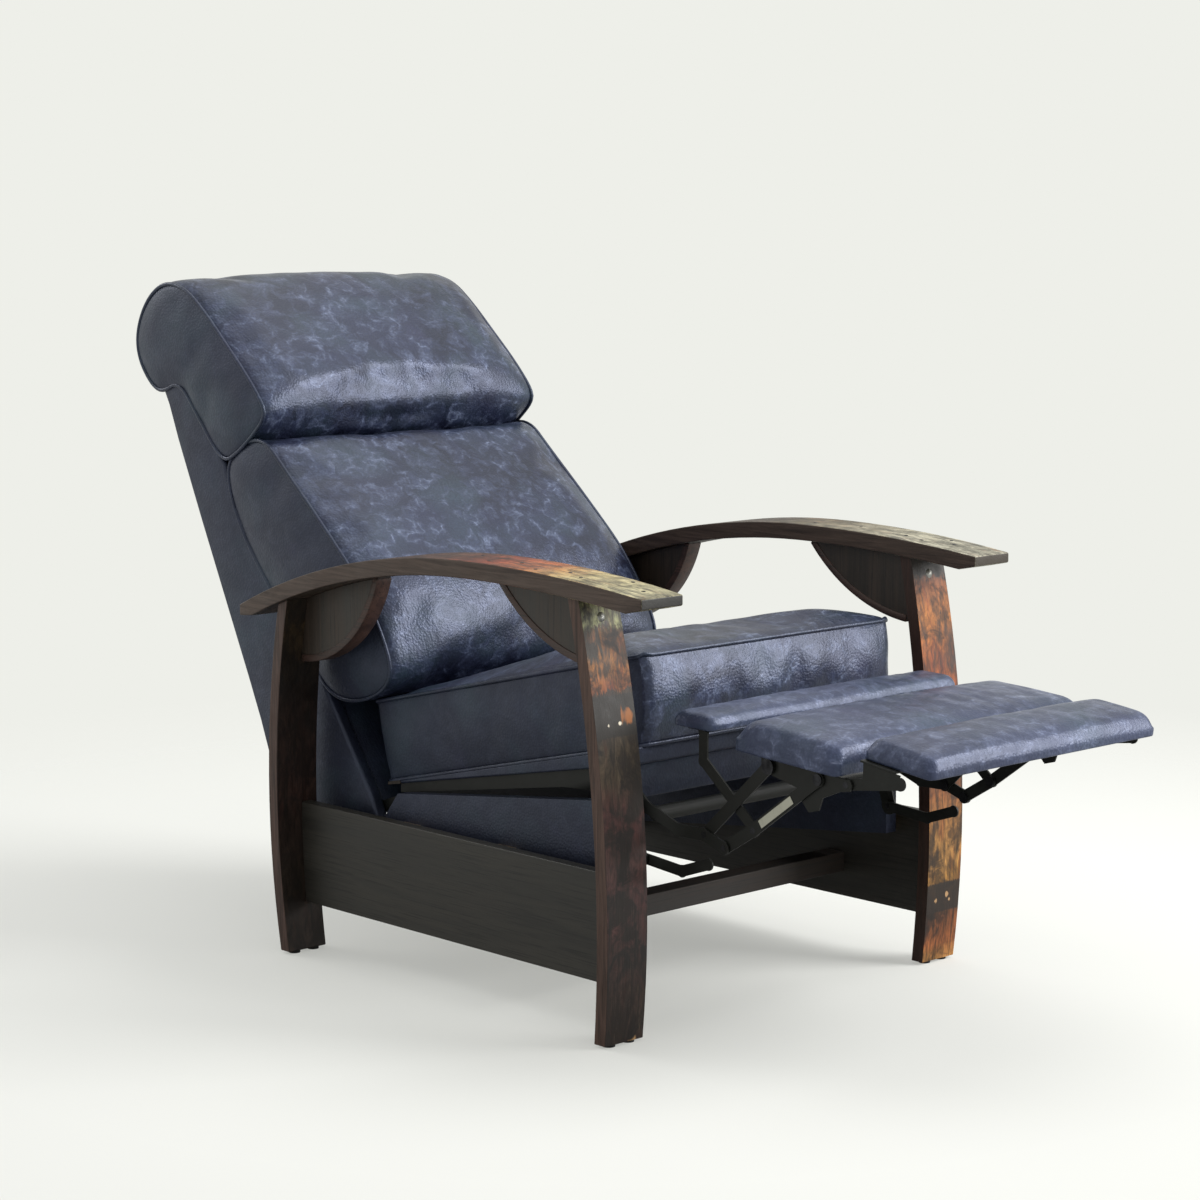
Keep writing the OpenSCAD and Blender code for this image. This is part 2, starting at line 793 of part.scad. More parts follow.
module back_webbing() {
    color("#20242c") placed() for (i = [0 : web_n - 1]) {
        t = (i + 0.5) / web_n;
        p = web_low + (web_high - web_low) * (web_margin + (1 - 2 * web_margin) * t);
        translate([-stile_inner, p[0], p[1]]) rotate([-back_lean, 0, 0])
            translate([0, -web_t - layer_gap, -web_w / 2]) cube([2 * stile_inner, web_t, web_w]);
    }
}

module back_brackets() {
    steel() placed() for (s = [-1, 1]) flank(s, prop_layer, link_t) difference() {
        union() {
            link([back_pivot, bracket_knee], link_w);
            link([bracket_knee, bracket_top], bracket_w);
        }
        hole(back_pivot, bore_r);
    }
}

// Side outlines of the cushions, run from the rear over the top and down the front
lumbar_outline = soften(soften([
    [968, 752, 0], [930, 790, 0], [884, 787, 0.2], [845, 755, 0.6], [744, 672, 1], [650, 590, 1],
    [604, 520, 0.8], [578, 462, 0.4], [600, 428, 0], [650, 409, 0], [708, 410, 0], [745, 436, 0],
    [866, 560, 0], [932, 638, 0]
]));
headrest_outline = soften([
    [1176, 876, 0], [1194, 880, 0], [1224, 915, 0], [1226, 955, 0.15], [1200, 1004, 0.3], [1150, 1034, 0.4],
    [1096, 1040, 0.5], [1040, 992, 0.85], [987, 945, 1], [934, 899, 0.85], [886, 838, 0.2], [930, 806, 0],
    [994, 764, 0], [1060, 840, 0], [1116, 902, 0]
]);

module lumbar_cushion() { leather() placed() puffed(lumbar_outline, lumbar_half, lumbar_swell); }
module headrest() { leather() placed() puffed(headrest_outline, back_half, headrest_swell); }

// Footrest linkage
module swing_outline() {
    difference() {
        link([swing_pivot, swing_bend, swing_rivet, guide_rear, carry_pivot], link_w);
        hole(swing_pivot, bore_r);
        for (p = [guide_rear, carry_pivot]) hole(p, rivet_r);
    }
}

module swing_link(s) { flank(s, swing_layer, link_t) swing_outline(); }
module swing_link_right() { steel() placed() swing_link(-1); }
module swing_link_left() { steel() placed() swing_link(1); }

module torque_tube() {
    steel() placed() difference() {
        pin(-swing_layer, swing_layer, tube_at, tube_r);
        pin(-swing_layer - 1, swing_layer + 1, tube_at, tube_r - tube_wall);
    }
}

// Rivet from layer a to layer b, with a head on its inner end
module rivet(p, outer, inner) {
    for (s = [-1, 1]) {
        flank_pin(s, inner, outer + link_t, p, rivet_r);
        flank_pin(s, inner - layer_gap / 2 - head_t, inner, p, rivet_head_r);
    }
}

module swing_rivets() {
    bright() placed() {
        rivet(carry_pivot, swing_layer, carry_layer);
        rivet(guide_rear, swing_layer, carry_layer);
    }
}

module carry_links() {
    steel() placed() for (s = [-1, 1]) flank(s, carry_layer, link_t) difference() {
        link([carry_pivot, small_pivot, main_pivot], link_w);
        hole(carry_pivot, bore_r);
        hole(small_pivot, rivet_r);
        hole(main_pivot, bore_r);
    }
}

module carry_rivets() { bright() placed() rivet(small_pivot, carry_layer, board_layer); }

// The guide links' front eyes are open: they only follow the main board's rivets
guide_eye_r = 7.5;
guide_pin_r = 3;
guide_head_r = 11;

module guide_links() {
    steel() placed() for (s = [-1, 1]) flank(s, carry_layer, link_t) difference() {
        link([guide_rear, guide_front], link_w);
        hole(guide_rear, bore_r);
        hole(guide_front, guide_eye_r);
    }
}

module prop_links() {
    steel() placed() for (s = [-1, 1]) flank(s, prop_layer, link_t) difference() {
        link([prop_pivot, prop_bend, prop_tip], slim_w);
        hole(prop_pivot, bore_r);
    }
}

tilt_slot = 2.2;

module tilt_links() {
    steel() placed() for (s = [-1, 1]) flank(s, prop_layer, link_t) difference() {
        link([tilt_base, tilt_seat], link_w);
        hole(tilt_base, bore_r);
        hole(tilt_seat, rivet_r + tilt_slot);
    }
}

// Boards: plywood below, leather pad above, each as [y, z] of its underside ends
small_under = [[-19, 450], [-97, 448.5]];
main_under = [[-143, 431], [-335, 419]];
flipper_under = [[-357, 445], [-476, 430]];
ply_inset = 8;

// Frame of a board: from its rear end, y grows to the front along the board
module on_board(ends) {
    d = ends[1] - ends[0];
    translate([0, ends[0][0], ends[0][1]]) rotate([atan2(-d[1], -d[0]), 0, 0]) children();
}

module ply(ends, half) {
    on_board(ends) translate([-half + ply_inset, -board_depth(ends) + ply_inset, 0])
        cube([2 * (half - ply_inset), board_depth(ends) - 2 * ply_inset, ply_t]);
}

function board_depth(ends) = norm(ends[1] - ends[0]);

// Crowned pad that wraps the board's edges down to its underside
module pad(ends, half, side_h, crown) {
    depth = board_depth(ends);
    steps = 12;
    function ring(u) = let (k = 0.35 + 0.65 * swell(u)) concat(
        [[-2, 0], [0, side_h * 0.45], [-2, side_h * 0.9]],
        [for (i = [1 : 7]) let (t = i / 8) [-depth * t, side_h + crown * k * pow(sin(180 * t), 0.7)]],
        [[-depth + 2, side_h * 0.9], [-depth, side_h * 0.45], [-depth + 2, 0]]
    );
    on_board(ends) difference() {
        loft([
            for (i = [0 : steps])
            let (u = -cos(180 * i / steps))
            [for (p = ring(u)) [half * u, p[0], p[1]]]
        ]);
        translate([-half + ply_inset, -depth + ply_inset, -1])
            cube([2 * (half - ply_inset), depth - 2 * ply_inset, ply_t + 1]);
    }
}

module small_board() { wood() placed() ply(small_under, small_half); }
module small_pad() { leather() placed() pad(small_under, small_half, 15, 9); }
module main_board() { wood() placed() ply(main_under, main_half); }
module main_pad() { leather() placed() pad(main_under, main_half, 26, 20); }
module flipper_board() { wood() placed() ply(flipper_under, flipper_half); }
module flipper_pad() { leather() placed() pad(flipper_under, flipper_half, 18, 12); }

flange_w = 22;
flange_t = 3;

// Flange under a board, from distance a to distance b
module flange(s, ends, a, b, y0, y1) {
    on_board(ends) translate([s > 0 ? a : -b, -y1, -flange_t]) cube([b - a, y1 - y0, flange_t]);
}

module small_brackets() {
    steel() placed() for (s = [-1, 1]) {
        flank(s, board_layer, link_t) difference() {
            link([small_pivot, small_bend, small_top], slim_w);
            translate([small_top[0] - slim_w, small_trim]) square([2 * slim_w, slim_w]);
            hole(small_pivot, bore_r);
        }
        flange(s, small_under, board_layer - flange_w, board_layer + link_t, 24, 58);
    }
}

main_flange_w = 19;
main_flange_y0 = 24;
main_flange_y1 = 150;
screw_edge = 20;

module main_bracket(s) {
    flank(s, board_layer, link_t) difference() {
        polygon([
            [-184, 425.4], [-184, 406], [-250, 392], [-262, 372], [-272, 361], [-290, 366],
            [-297, 384], [-328, 397], [-346, 400], [-350, 408], [-346, 415], [-330, 416.2]
        ]);
        for (p = [main_pivot, flipper_pivot]) hole(p, rivet_r);
        hole(guide_front, guide_pin_r);
    }
    flange(s, main_under, board_layer - main_flange_w, board_layer + link_t, main_flange_y0, main_flange_y1);
}

module main_brackets() { steel() placed() for (s = [-1, 1]) main_bracket(s); }

module main_rivets() {
    bright() placed() for (s = [-1, 1]) {
        flank_pin(s, board_layer, carry_layer + link_t, main_pivot, rivet_r);
        flank_pin(s, carry_layer + link_t, carry_layer + link_t + head_t, main_pivot, rivet_head_r);
        flank_pin(s, board_layer, carry_layer + link_t, guide_front, guide_pin_r);
        flank_pin(s, carry_layer + link_t, carry_layer + link_t + head_t, guide_front, guide_head_r);
        flank_pin(s, flipper_layer, board_layer + link_t, flipper_pivot, rivet_r);
        flank_pin(s, flipper_layer - head_t, flipper_layer, flipper_pivot, rivet_head_r);
    }
}

module flipper_brackets() {
    steel() placed() for (s = [-1, 1]) {
        flank(s, flipper_layer, link_t) difference() {
            union() {
                link([flipper_pivot, flipper_tip], slim_w);
                polygon([[-366, 412], [-366, 440.8], [-430, 432.7], [-424, 419]]);
            }
            hole(flipper_pivot, bore_r);
        }
        flange(s, flipper_under, flipper_layer - flange_w, flipper_layer + link_t, 4, 66);
    }
}

// Screws that hold the flanges to the boards
screw_r = 3.5;
screw_h = 1.5;

module screws(ends, x, ys) {
    on_board(ends) for (s = [-1, 1]) for (y = ys)
        translate([s * x, -y, -flange_t - screw_h]) cylinder(r = screw_r, h = screw_h, $fn = 32);
}

module board_screws() {
    ys = [main_flange_y0 + screw_edge, main_flange_y1 - screw_edge];
    bright() placed() screws(main_under, board_layer - main_flange_w / 2, ys);
}

front_leg_right();
front_leg_left();
rear_leg_right();
rear_leg_left();
arm_right();
arm_left();
front_corbel_right();
front_corbel_left();
rear_corbel_right();
rear_corbel_left();
side_panel_right();
side_panel_left();
front_stretcher();
rear_stretcher();
box_rail_right();
box_rail_left();
box_spacers();
leg_bolts();
foot_glides();
base_studs();
seat_front_rail();
seat_side_rails();
seat_rear_rail();
seat_front_panel();
seat_rear_panel();
seat_springs();
seat_cushion();
seat_plate_right();
seat_plate_left();
seat_studs();
back_stiles();
back_rails();
back_webbing();
back_side_panels();
back_rear_panel();
back_lining();
back_brackets();
lumbar_cushion();
headrest();
swing_link_right();
swing_link_left();
torque_tube();
swing_rivets();
carry_links();
carry_rivets();
guide_links();
prop_links();
tilt_links();
small_board();
small_pad();
small_brackets();
main_board();
main_pad();
main_brackets();
main_rivets();
flipper_board();
flipper_pad();
flipper_brackets();
board_screws();
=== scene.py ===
# %% [markdown]
# # A push-back recliner with barrel-stave arms
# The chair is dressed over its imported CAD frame. Soft pieces are rebuilt as sewn leather,
# wooden and steel pieces get eased edges, and every surface gets a finish made from nodes.

# %% Load the frame
import json
import math

import bmesh
import bpy
from mathutils import Matrix, Vector, noise

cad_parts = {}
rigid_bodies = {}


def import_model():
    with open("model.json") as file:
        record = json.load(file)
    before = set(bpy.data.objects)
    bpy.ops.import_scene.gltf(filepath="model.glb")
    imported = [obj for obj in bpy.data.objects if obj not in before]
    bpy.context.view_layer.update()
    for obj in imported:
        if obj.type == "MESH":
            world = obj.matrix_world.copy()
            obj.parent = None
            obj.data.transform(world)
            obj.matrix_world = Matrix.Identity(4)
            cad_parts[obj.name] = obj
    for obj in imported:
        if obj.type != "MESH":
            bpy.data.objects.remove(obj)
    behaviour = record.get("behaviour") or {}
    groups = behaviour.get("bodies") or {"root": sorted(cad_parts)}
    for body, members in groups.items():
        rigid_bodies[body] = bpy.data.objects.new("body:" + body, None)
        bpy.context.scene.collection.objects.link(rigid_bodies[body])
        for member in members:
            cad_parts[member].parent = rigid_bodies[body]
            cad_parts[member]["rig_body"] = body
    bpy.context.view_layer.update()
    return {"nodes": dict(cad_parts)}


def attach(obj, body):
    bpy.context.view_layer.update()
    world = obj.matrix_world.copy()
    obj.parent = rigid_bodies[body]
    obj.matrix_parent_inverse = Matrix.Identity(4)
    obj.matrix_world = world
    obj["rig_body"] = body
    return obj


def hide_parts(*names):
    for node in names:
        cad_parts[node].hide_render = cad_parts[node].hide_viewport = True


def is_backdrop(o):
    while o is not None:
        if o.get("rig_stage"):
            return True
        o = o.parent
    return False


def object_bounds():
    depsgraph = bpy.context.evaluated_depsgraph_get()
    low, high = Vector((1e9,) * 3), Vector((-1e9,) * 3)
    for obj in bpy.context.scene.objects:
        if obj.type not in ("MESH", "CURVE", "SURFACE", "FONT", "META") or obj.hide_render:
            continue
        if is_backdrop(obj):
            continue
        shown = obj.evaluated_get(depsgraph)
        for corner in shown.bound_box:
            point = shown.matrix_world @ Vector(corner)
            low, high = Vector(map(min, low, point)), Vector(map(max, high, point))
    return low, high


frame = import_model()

# %% [markdown]
# ## Places
# The chair is measured in millimetres back from its front legs. One function turns such a
# place into metres in the frame's own axes, so every number below can be read off a drawing.
# Right and left are the sitter's.

# %% A place on the chair
METRE = 1000
FRONT_TO_MIDDLE = 377.5
SIDES = (("right", -1), ("left", 1))


def at(x, y, z):
    """Metres in the frame, from millimetres to the left, back from the front legs and up."""
    return Vector((x, y - FRONT_TO_MIDDLE, z)) / METRE


def placed(name, data):
    """Puts a mesh, a curve, a lamp or a camera in the scene as an object."""
    made = bpy.data.objects.new(name, data)
    bpy.context.scene.collection.objects.link(made)
    return made


print("front legs stand at", [round(v, 4) for v in at(0, 0, 0)])

# %% [markdown]
# ## Camera
# The photograph was taken with a long lens from the chair's front right corner, a little
# above the arms. The camera's place and turn were recovered from the chair's own edges.

# %% Camera
AZIMUTH, ELEVATION, ROLL = math.radians(-42.896), math.radians(7.684), math.radians(-0.186)
CAMERA_PLACE = at(-3112.4, -2942.6, 1175.9)
SENSOR_WIDTH, FOCAL_LENGTH = 36, 89.14

back = Vector((
    math.sin(AZIMUTH) * math.cos(ELEVATION), -math.cos(AZIMUTH) * math.cos(ELEVATION), math.sin(ELEVATION)
))
level = Vector((math.cos(AZIMUTH), math.sin(AZIMUTH), 0))
upright = back.cross(level)
right = level * math.cos(ROLL) + upright * math.sin(ROLL)
up = upright * math.cos(ROLL) - level * math.sin(ROLL)

lens = bpy.data.cameras.new("camera")
lens.sensor_width, lens.lens = SENSOR_WIDTH, FOCAL_LENGTH
lens.clip_start, lens.clip_end = 0.1, 60
camera = placed("camera", lens)
camera.matrix_world = Matrix.Translation(CAMERA_PLACE) @ Matrix((right, up, back)).transposed().to_4x4()
bpy.context.scene.camera = camera
print("camera stands", round(CAMERA_PLACE.length, 2), "m from the middle")

# %% [markdown]
# ## Small helpers for finishes
# A colour is written as it looks on a screen, and one function turns it to linear light.
# Another adds one node with its settings and links, so each finish reads as a short recipe.
# A pattern's scale is how often it repeats in a metre, so a scale of 250 is a grain of 4 mm.

# %% Colours and nodes
def colour(code):
    parts = [int(code[i:i + 2], 16) / 255 for i in (1, 3, 5)]
    return (*[p / 12.92 if p <= 0.04045 else ((p + 0.055) / 1.055) ** 2.4 for p in parts], 1)


def put(tree, kind, feeds=None, out=0, **settings):
    """Adds a node with its settings, feeds its inputs and returns one of its outputs."""
    made = tree.nodes.new("ShaderNode" + kind)
    for name, value in settings.items():
        setattr(made, name, value)
    for name, value in (feeds or {}).items():
        if isinstance(value, bpy.types.NodeSocket):
            tree.links.new(value, made.inputs[name])
        else:
            made.inputs[name].default_value = value
    return made.outputs[out] if made.outputs else None


def blank(name):
    """A new material, its tree, its shader, and the place on the object for its patterns."""
    material = bpy.data.materials.new(name)
    material.use_nodes = True
    tree = material.node_tree
    tree.nodes.clear()
    surface = put(tree, "BsdfPrincipled")
    put(tree, "OutputMaterial", {"Surface": surface})
    return material, tree, surface.node, put(tree, "TexCoord", out="Object")


def layered(tree, base, layers):
    """Lays colours over a base, each as (pattern, start level, full level, most, colour)."""
    for pattern, start, full, most, code in layers:
        share = put(tree, "MapRange", {0: pattern, 1: start, 2: full, 4: most})
        base = put(tree, "Mix", {0: share, 6: base, 7: colour(code)}, out=2, data_type="RGBA")
    return base


def relief(tree, shader, layers):
    """Stacks bumps, each as (height, how much, millimetres)."""
    normal = None
    for height, strength, depth in layers:
        feeds = {"Height": height, "Strength": strength, "Distance": depth / METRE}
        if normal is not None:
            feeds["Normal"] = normal
        normal = put(tree, "Bump", feeds)
    tree.links.new(normal, shader.inputs["Normal"])


def drawn_out(tree, place, along, across, lengthwise, detail, rough, twist):
    """Noise with one scale along an axis of a piece and another across it."""
    scale = [across] * 3
    scale[along] = lengthwise
    vector = put(tree, "Mapping", {"Vector": place, "Scale": scale})
    return put(tree, "TexNoise", {
        "Vector": vector, "Scale": 1.0, "Detail": detail, "Roughness": rough, "Distortion": twist
    })


X, Y, Z = 0, 1, 2
print("mid grey in linear light", round(colour("#808080")[0], 3))

# %% [markdown]
# ## Pull-up leather
# The hide is aniline-dyed cowhide filled with wax. Where it is pulled over the foam the wax
# moves and the dye lightens in veins and clouds, and the pebble grain breaks up the shine.
# The wax gives the shine a faint blue. Clouds are about 30 mm across, veins run 25 mm apart
# and folds 23 mm apart. Real pebbles are about 1.5 mm across. Here they are 4.1 mm, a scale of
# 245, so that they show in the render.

# %% Pull-up leather
def pull_up_leather(name, ground, shade, cloudy, vein, marbling, rough, folded):
    """Marbling is how far the clouds and veins show, and folded is how far the folds do."""
    material, tree, shader, place = blank(name)
    slanted = put(tree, "Mapping", {
        "Vector": place, "Scale": (1.0, 1.0, 1.25), "Rotation": (0.5, 0.3, 0.4)
    })
    drift = put(tree, "TexNoise", {"Vector": slanted, "Scale": 26.0, "Detail": 3.0}, out=1)
    shift = put(tree, "VectorMath", {0: drift, 1: (0.05, 0.05, 0.05)}, operation="MULTIPLY")
    warped = put(tree, "VectorMath", {0: slanted, 1: shift}, operation="ADD")
    patches = put(tree, "TexNoise", {
        "Vector": slanted, "Scale": 6.5, "Detail": 3, "Roughness": 0.5, "Distortion": 0.6
    })
    mottle = put(tree, "TexNoise", {
        "Vector": warped, "Scale": 33, "Detail": 5, "Roughness": 0.6, "Distortion": 0.5
    })
    hue = put(tree, "TexNoise", {
        "Vector": place, "Scale": 9, "Detail": 2, "Roughness": 0.5, "Distortion": 0.4
    })
    net = put(tree, "TexVoronoi", {"Vector": warped, "Scale": 40.0}, feature="DISTANCE_TO_EDGE")
    pebbles = put(tree, "TexVoronoi", {"Vector": place, "Scale": 245.0, "Randomness": 0.9}, feature="F1")

    worn = put(tree, "MapRange", {0: mottle, 1: 0.42, 2: 0.66})
    near_vein = put(tree, "MapRange", {0: net, 1: 0.0, 2: 0.22, 3: 1.0, 4: 0.0})
    veined = put(tree, "Math", {0: near_vein, 1: worn}, operation="MULTIPLY")
    thin = put(tree, "Math", {0: veined, 1: veined}, operation="MULTIPLY")
    uneven = put(tree, "MapRange", {0: patches, 1: 0.36, 2: 0.6, 3: 0.25 * marbling, 4: marbling})
    veins = put(tree, "Math", {0: thin, 1: uneven}, operation="MULTIPLY")

    base = layered(tree, colour(shade), [
        (patches, 0.36, 0.64, 1.0, ground),
        (hue, 0.45, 0.7, 0.35, "#3C5058"),
        (hue, 0.35, 0.2, 0.35, "#403C5C"),
        (mottle, 0.44, 0.7, marbling, cloudy),
        (veins, 0.0, 1.0, 1.0, vein),
        (pebbles, 0.42, 0.7, 0.35, shade),
    ])
    tree.links.new(base, shader.inputs["Base Color"])
    waxy = put(tree, "MapRange", {0: mottle, 1: 0.3, 2: 0.7, 3: rough + 0.06, 4: rough - 0.05})
    tree.links.new(waxy, shader.inputs["Roughness"])
    shader.inputs["Specular IOR Level"].default_value = 0.6
    shader.inputs["Specular Tint"].default_value = colour("#D8E1FF")

    soft = put(tree, "TexNoise", {"Vector": place, "Scale": 17, "Detail": 3, "Roughness": 0.5})
    pulled = put(tree, "Mapping", {"Vector": place, "Scale": (44, 13, 9)})
    folds = put(tree, "TexNoise", {
        "Vector": pulled, "Scale": 1.0, "Detail": 3, "Roughness": 0.55, "Distortion": 0.7
    })
    domes = put(tree, "MapRange", {0: pebbles, 1: 0.0, 2: 0.75, 3: 1.0, 4: 0.0})
    relief(tree, shader, [(soft, 0.3, 2.4), (folds, folded, 2.6), (mottle, 0.04, 0.8), (domes, 0.55, 0.5)])
    return material


front_leather = pull_up_leather(
    "pull_up_leather_front", "#1C2036", "#0F1220", "#394059", "#78839C",
    marbling=0.85, rough=0.36, folded=0.34
)
# The side leather is a darker, duller copy: partly the less pulled-up hide of unstretched panels, partly
# painted shade on the side faces.
side_leather_painted_shade = pull_up_leather(
    "pull_up_leather_side_painted_shade", "#202434", "#171A27", "#2D3244", "#3C4358",
    marbling=0.35, rough=0.48, folded=0.3
)
# The pads' leather is a lighter copy, lightened partly as painted sheen on the pads' tops.
pad_leather_painted_sheen = pull_up_leather(
    "pull_up_leather_pads_painted_sheen", "#363D56", "#242A3F", "#59617C", "#858FAB",
    marbling=0.65, rough=0.38, folded=0.15
)
welt_leather = pull_up_leather(
    "welt_leather", "#1E2336", "#151825", "#2F364A", "#434C62",
    marbling=0.4, rough=0.38, folded=0.1
)
print("leathers", len(bpy.data.materials))

# %% [markdown]
# ## Barrel-stave oak
# The arms and legs are old barrel staves. Their oak is dark with age and charring, the hoops
# left dark bands across it, and the worn places show amber heartwood or a grey-green bloom.
# The colour follows the length of the stave through a ramp, and the grain runs the same way.
# Scorched patches are 50 to 60 mm across. Across the stave the grain repeats every 7 mm, its
# short dark ticks every 3 mm and its fibres every 2 mm. Real ticks and fibres are finer than
# 1 mm, so they are drawn as coarse as they need to be to show.

# %% Barrel-stave oak
HOOP_FADE = 2


def stave_oak(name, along, stops, edge, seed, char, hoops=(), spots=(), flakes=0.0, tip=None):
    """Oak that changes colour along a stave, by stops of (place, colour) in millimetres.

    Hoops are (from, to, colour), spots are ((x, z), radius, colour), and seed shifts the grain.
    """
    material, tree, shader, place = blank(name)
    start_of_axis = FRONT_TO_MIDDLE if along == Y else 0

    def metres(where):
        return (where - start_of_axis) / METRE

    moved = put(tree, "Mapping", {"Vector": place, "Location": (seed, seed * 0.7, seed * 1.3)})
    grain = drawn_out(tree, moved, along, 150, 8, 6, 0.62, 0.8)
    ticks = drawn_out(tree, moved, along, 330, 26, 3, 0.6, 0.6)
    fibre = drawn_out(tree, moved, along, 520, 14, 4, 0.6, 0.3)
    streak = drawn_out(tree, moved, along, 60, 9, 3, 0.6, 0.9)
    glow = drawn_out(tree, moved, along, 42, 17, 4, 0.6, 1.6)
    scorch = drawn_out(tree, moved, Z, 17, 11, 4, 0.6, 0.8)
    blotch = put(tree, "TexNoise", {
        "Vector": moved, "Scale": 21, "Detail": 5, "Roughness": 0.62, "Distortion": 0.7
    })

    length = put(tree, "SeparateXYZ", {0: place}, out=along)
    wander = put(tree, "MapRange", {0: blotch, 3: -0.02, 4: 0.02}, clamp=False)
    fray = put(tree, "MapRange", {0: fibre, 3: -0.015, 4: 0.015}, clamp=False)
    wandered = put(tree, "Math", {0: length, 1: wander}, operation="ADD")
    frayed = put(tree, "Math", {0: wandered, 1: fray}, operation="ADD")
    low, high = metres(stops[0][0]), metres(stops[-1][0])
    share = put(tree, "MapRange", {0: frayed, 1: low, 2: high})
    base = put(tree, "ValToRGB", {0: share})
    points = base.node.color_ramp.elements
    for i, (where, shade) in enumerate(stops):
        point = points[i] if i < 2 else points.new(1.0)
        point.position = (metres(where) - low) / (high - low)
        point.color = colour(shade)

    reddish = put(tree, "MapRange", {0: streak, 1: 0.55, 2: 0.75, 4: 0.6})
    base = put(
        tree, "Mix", {0: reddish, 6: base, 7: colour("#A0543C")}, out=2,
        data_type="RGBA", blend_type="OVERLAY"
    )
    glowing = put(tree, "MapRange", {0: glow, 1: 0.36, 2: 0.62, 3: 0.34, 4: 1.2})
    base = put(
        tree, "Mix", {0: 1.0, 6: base, 7: glowing}, out=2,
        data_type="RGBA", blend_type="MULTIPLY"
    )
    pale_streak = put(tree, "MapRange", {0: streak, 1: 0.44, 2: 0.3})
    pale_fibre = put(tree, "MapRange", {0: fibre, 1: 0.5, 2: 0.7})
    pale = put(tree, "Math", {0: pale_streak, 1: pale_fibre}, operation="MULTIPLY")
    base = layered(tree, base, [
        (grain, 0.5, 0.66, 0.8, "#17110D"),
        (ticks, 0.52, 0.68, 0.5, "#1A120D"),
        (blotch, 0.5, 0.6, char, "#15100D"),
        (scorch, 0.5, 0.62, char, "#1D1510"),
        (pale, 0.0, 1.0, flakes, "#8C7A60"),
    ])

    slightly = put(tree, "Math", {0: fray, 1: 0.25}, operation="MULTIPLY")
    ragged = put(tree, "Math", {0: length, 1: slightly}, operation="ADD")
    for start, end, shade in hoops:
        past = put(tree, "MapRange", {0: ragged, 1: metres(start), 2: metres(start + HOOP_FADE)})
        short = put(tree, "MapRange", {0: ragged, 1: metres(end), 2: metres(end - HOOP_FADE)})
        inside = put(tree, "Math", {0: past, 1: short}, operation="MULTIPLY")
        base = layered(tree, base, [(inside, 0.0, 1.0, 0.93, shade)])
    flat = put(tree, "VectorMath", {0: place, 1: (1, 0, 1)}, operation="MULTIPLY")
    for (x, z), radius, shade in spots:
        centre, size = (x / METRE, 0, z / METRE), radius / METRE
        away = put(tree, "VectorMath", {0: flat, 1: centre}, out="Value", operation="DISTANCE")
        jagged = put(tree, "MapRange", {0: streak, 3: -3 * size, 4: 3 * size}, clamp=False)
        reach = put(tree, "Math", {0: away, 1: jagged}, operation="ADD")
        base = layered(tree, base, [(reach, size, 0.4 * size, 1.0, shade)])

    facing = put(tree, "TexCoord", out="Normal")
    sideways = put(tree, "Math", {0: put(tree, "SeparateXYZ", {0: facing}, out=X)}, operation="ABSOLUTE")
    turned = put(tree, "MapRange", {0: sideways, 1: 0.6, 2: 0.8})
    plain = layered(tree, colour(edge), [(grain, 0.35, 0.7, 1.0, "#2A1D16")])
    base = put(tree, "Mix", {0: turned, 6: base, 7: plain}, out=2, data_type="RGBA")
    if tip:
        ahead = put(tree, "SeparateXYZ", {0: facing}, out=Y)
        base = layered(tree, base, [(ahead, -0.8, -0.9, 1.0, tip)])
    tree.links.new(base, shader.inputs["Base Color"])
    dullness = put(tree, "MapRange", {0: blotch, 1: 0.3, 2: 0.7, 3: 0.42, 4: 0.6})
    tree.links.new(dullness, shader.inputs["Roughness"])
    shader.inputs["Specular IOR Level"].default_value = 0.36
    relief(tree, shader, [(grain, 0.5, 0.9), (fibre, 0.45, 0.35), (blotch, 0.25, 1.0)])
    return material


near_leg_oak = stave_oak("stave_oak_near_leg", Z, [
    (0, "#2E211B"), (60, "#33251F"), (130, "#3E2823"), (200, "#55322F"), (270, "#4A302B"), (330, "#57322F"),
    (380, "#4E4030"), (425, "#43382A"), (500, "#3A2A1C"), (504, "#84461E"), (540, "#AA6E30"),
    (575, "#845226"), (588, "#4A3A20"), (592, "#9C9C70"), (640, "#92926A")
], edge="#5F483E", seed=3.1, char=0.9, hoops=[(438, 498, "#211D19"), (589.5, 591.5, "#191411")], spots=[
    ((-316, 467), 9, "#935A2C"), ((-357, 456), 2.2, "#E8DCC4"), ((-335, 457), 2.2, "#E8DCC4"),
    ((-322, 3), 6, "#A8845A"), ((-366, 562), 22, "#2A2015"), ((-352, 530), 12, "#37230F")
], flakes=0.3)
far_leg_oak = stave_oak("stave_oak_far_leg", Z, [
    (0, "#C08A4A"), (30, "#9A5A30"), (74, "#6E4226"), (78, "#6E4226"), (132, "#A87838"), (160, "#BA884A"),
    (200, "#BE8848"), (270, "#9C5E32"), (330, "#703C20"), (470, "#A05422"), (540, "#BC7430"),
    (588, "#884C26"), (600, "#2B2420"), (640, "#2B2420")
], edge="#3E2820", seed=7.7, char=0.75, hoops=[(80, 128, "#231B16")], spots=[
    ((318, 100), 3, "#B08C64"), ((346, 107), 3, "#B08C64"), ((352, 98), 2, "#B08C64")
])
rear_leg_oak = stave_oak("stave_oak_rear_legs", Z, [
    (0, "#3B2C22"), (120, "#2A211A"), (260, "#3C2A24"), (430, "#241C17"), (520, "#3E3120"), (640, "#261F1A")
], edge="#5A443C", seed=12.9, char=0.6)
near_arm_oak = stave_oak("stave_oak_near_arm", Y, [
    (-90, "#B0A884"), (-40, "#BDB48C"), (60, "#B9A878"), (105, "#B4884E"), (150, "#B26636"),
    (230, "#93452A"), (330, "#573A2C"), (560, "#463A31"), (823, "#4E4238")
], edge="#5A4B42", seed=21.3, char=0.4, hoops=[
    (-20.5, -19, "#2A2018"), (32.5, 33.3, "#6E6040")
], tip="#2B2926")
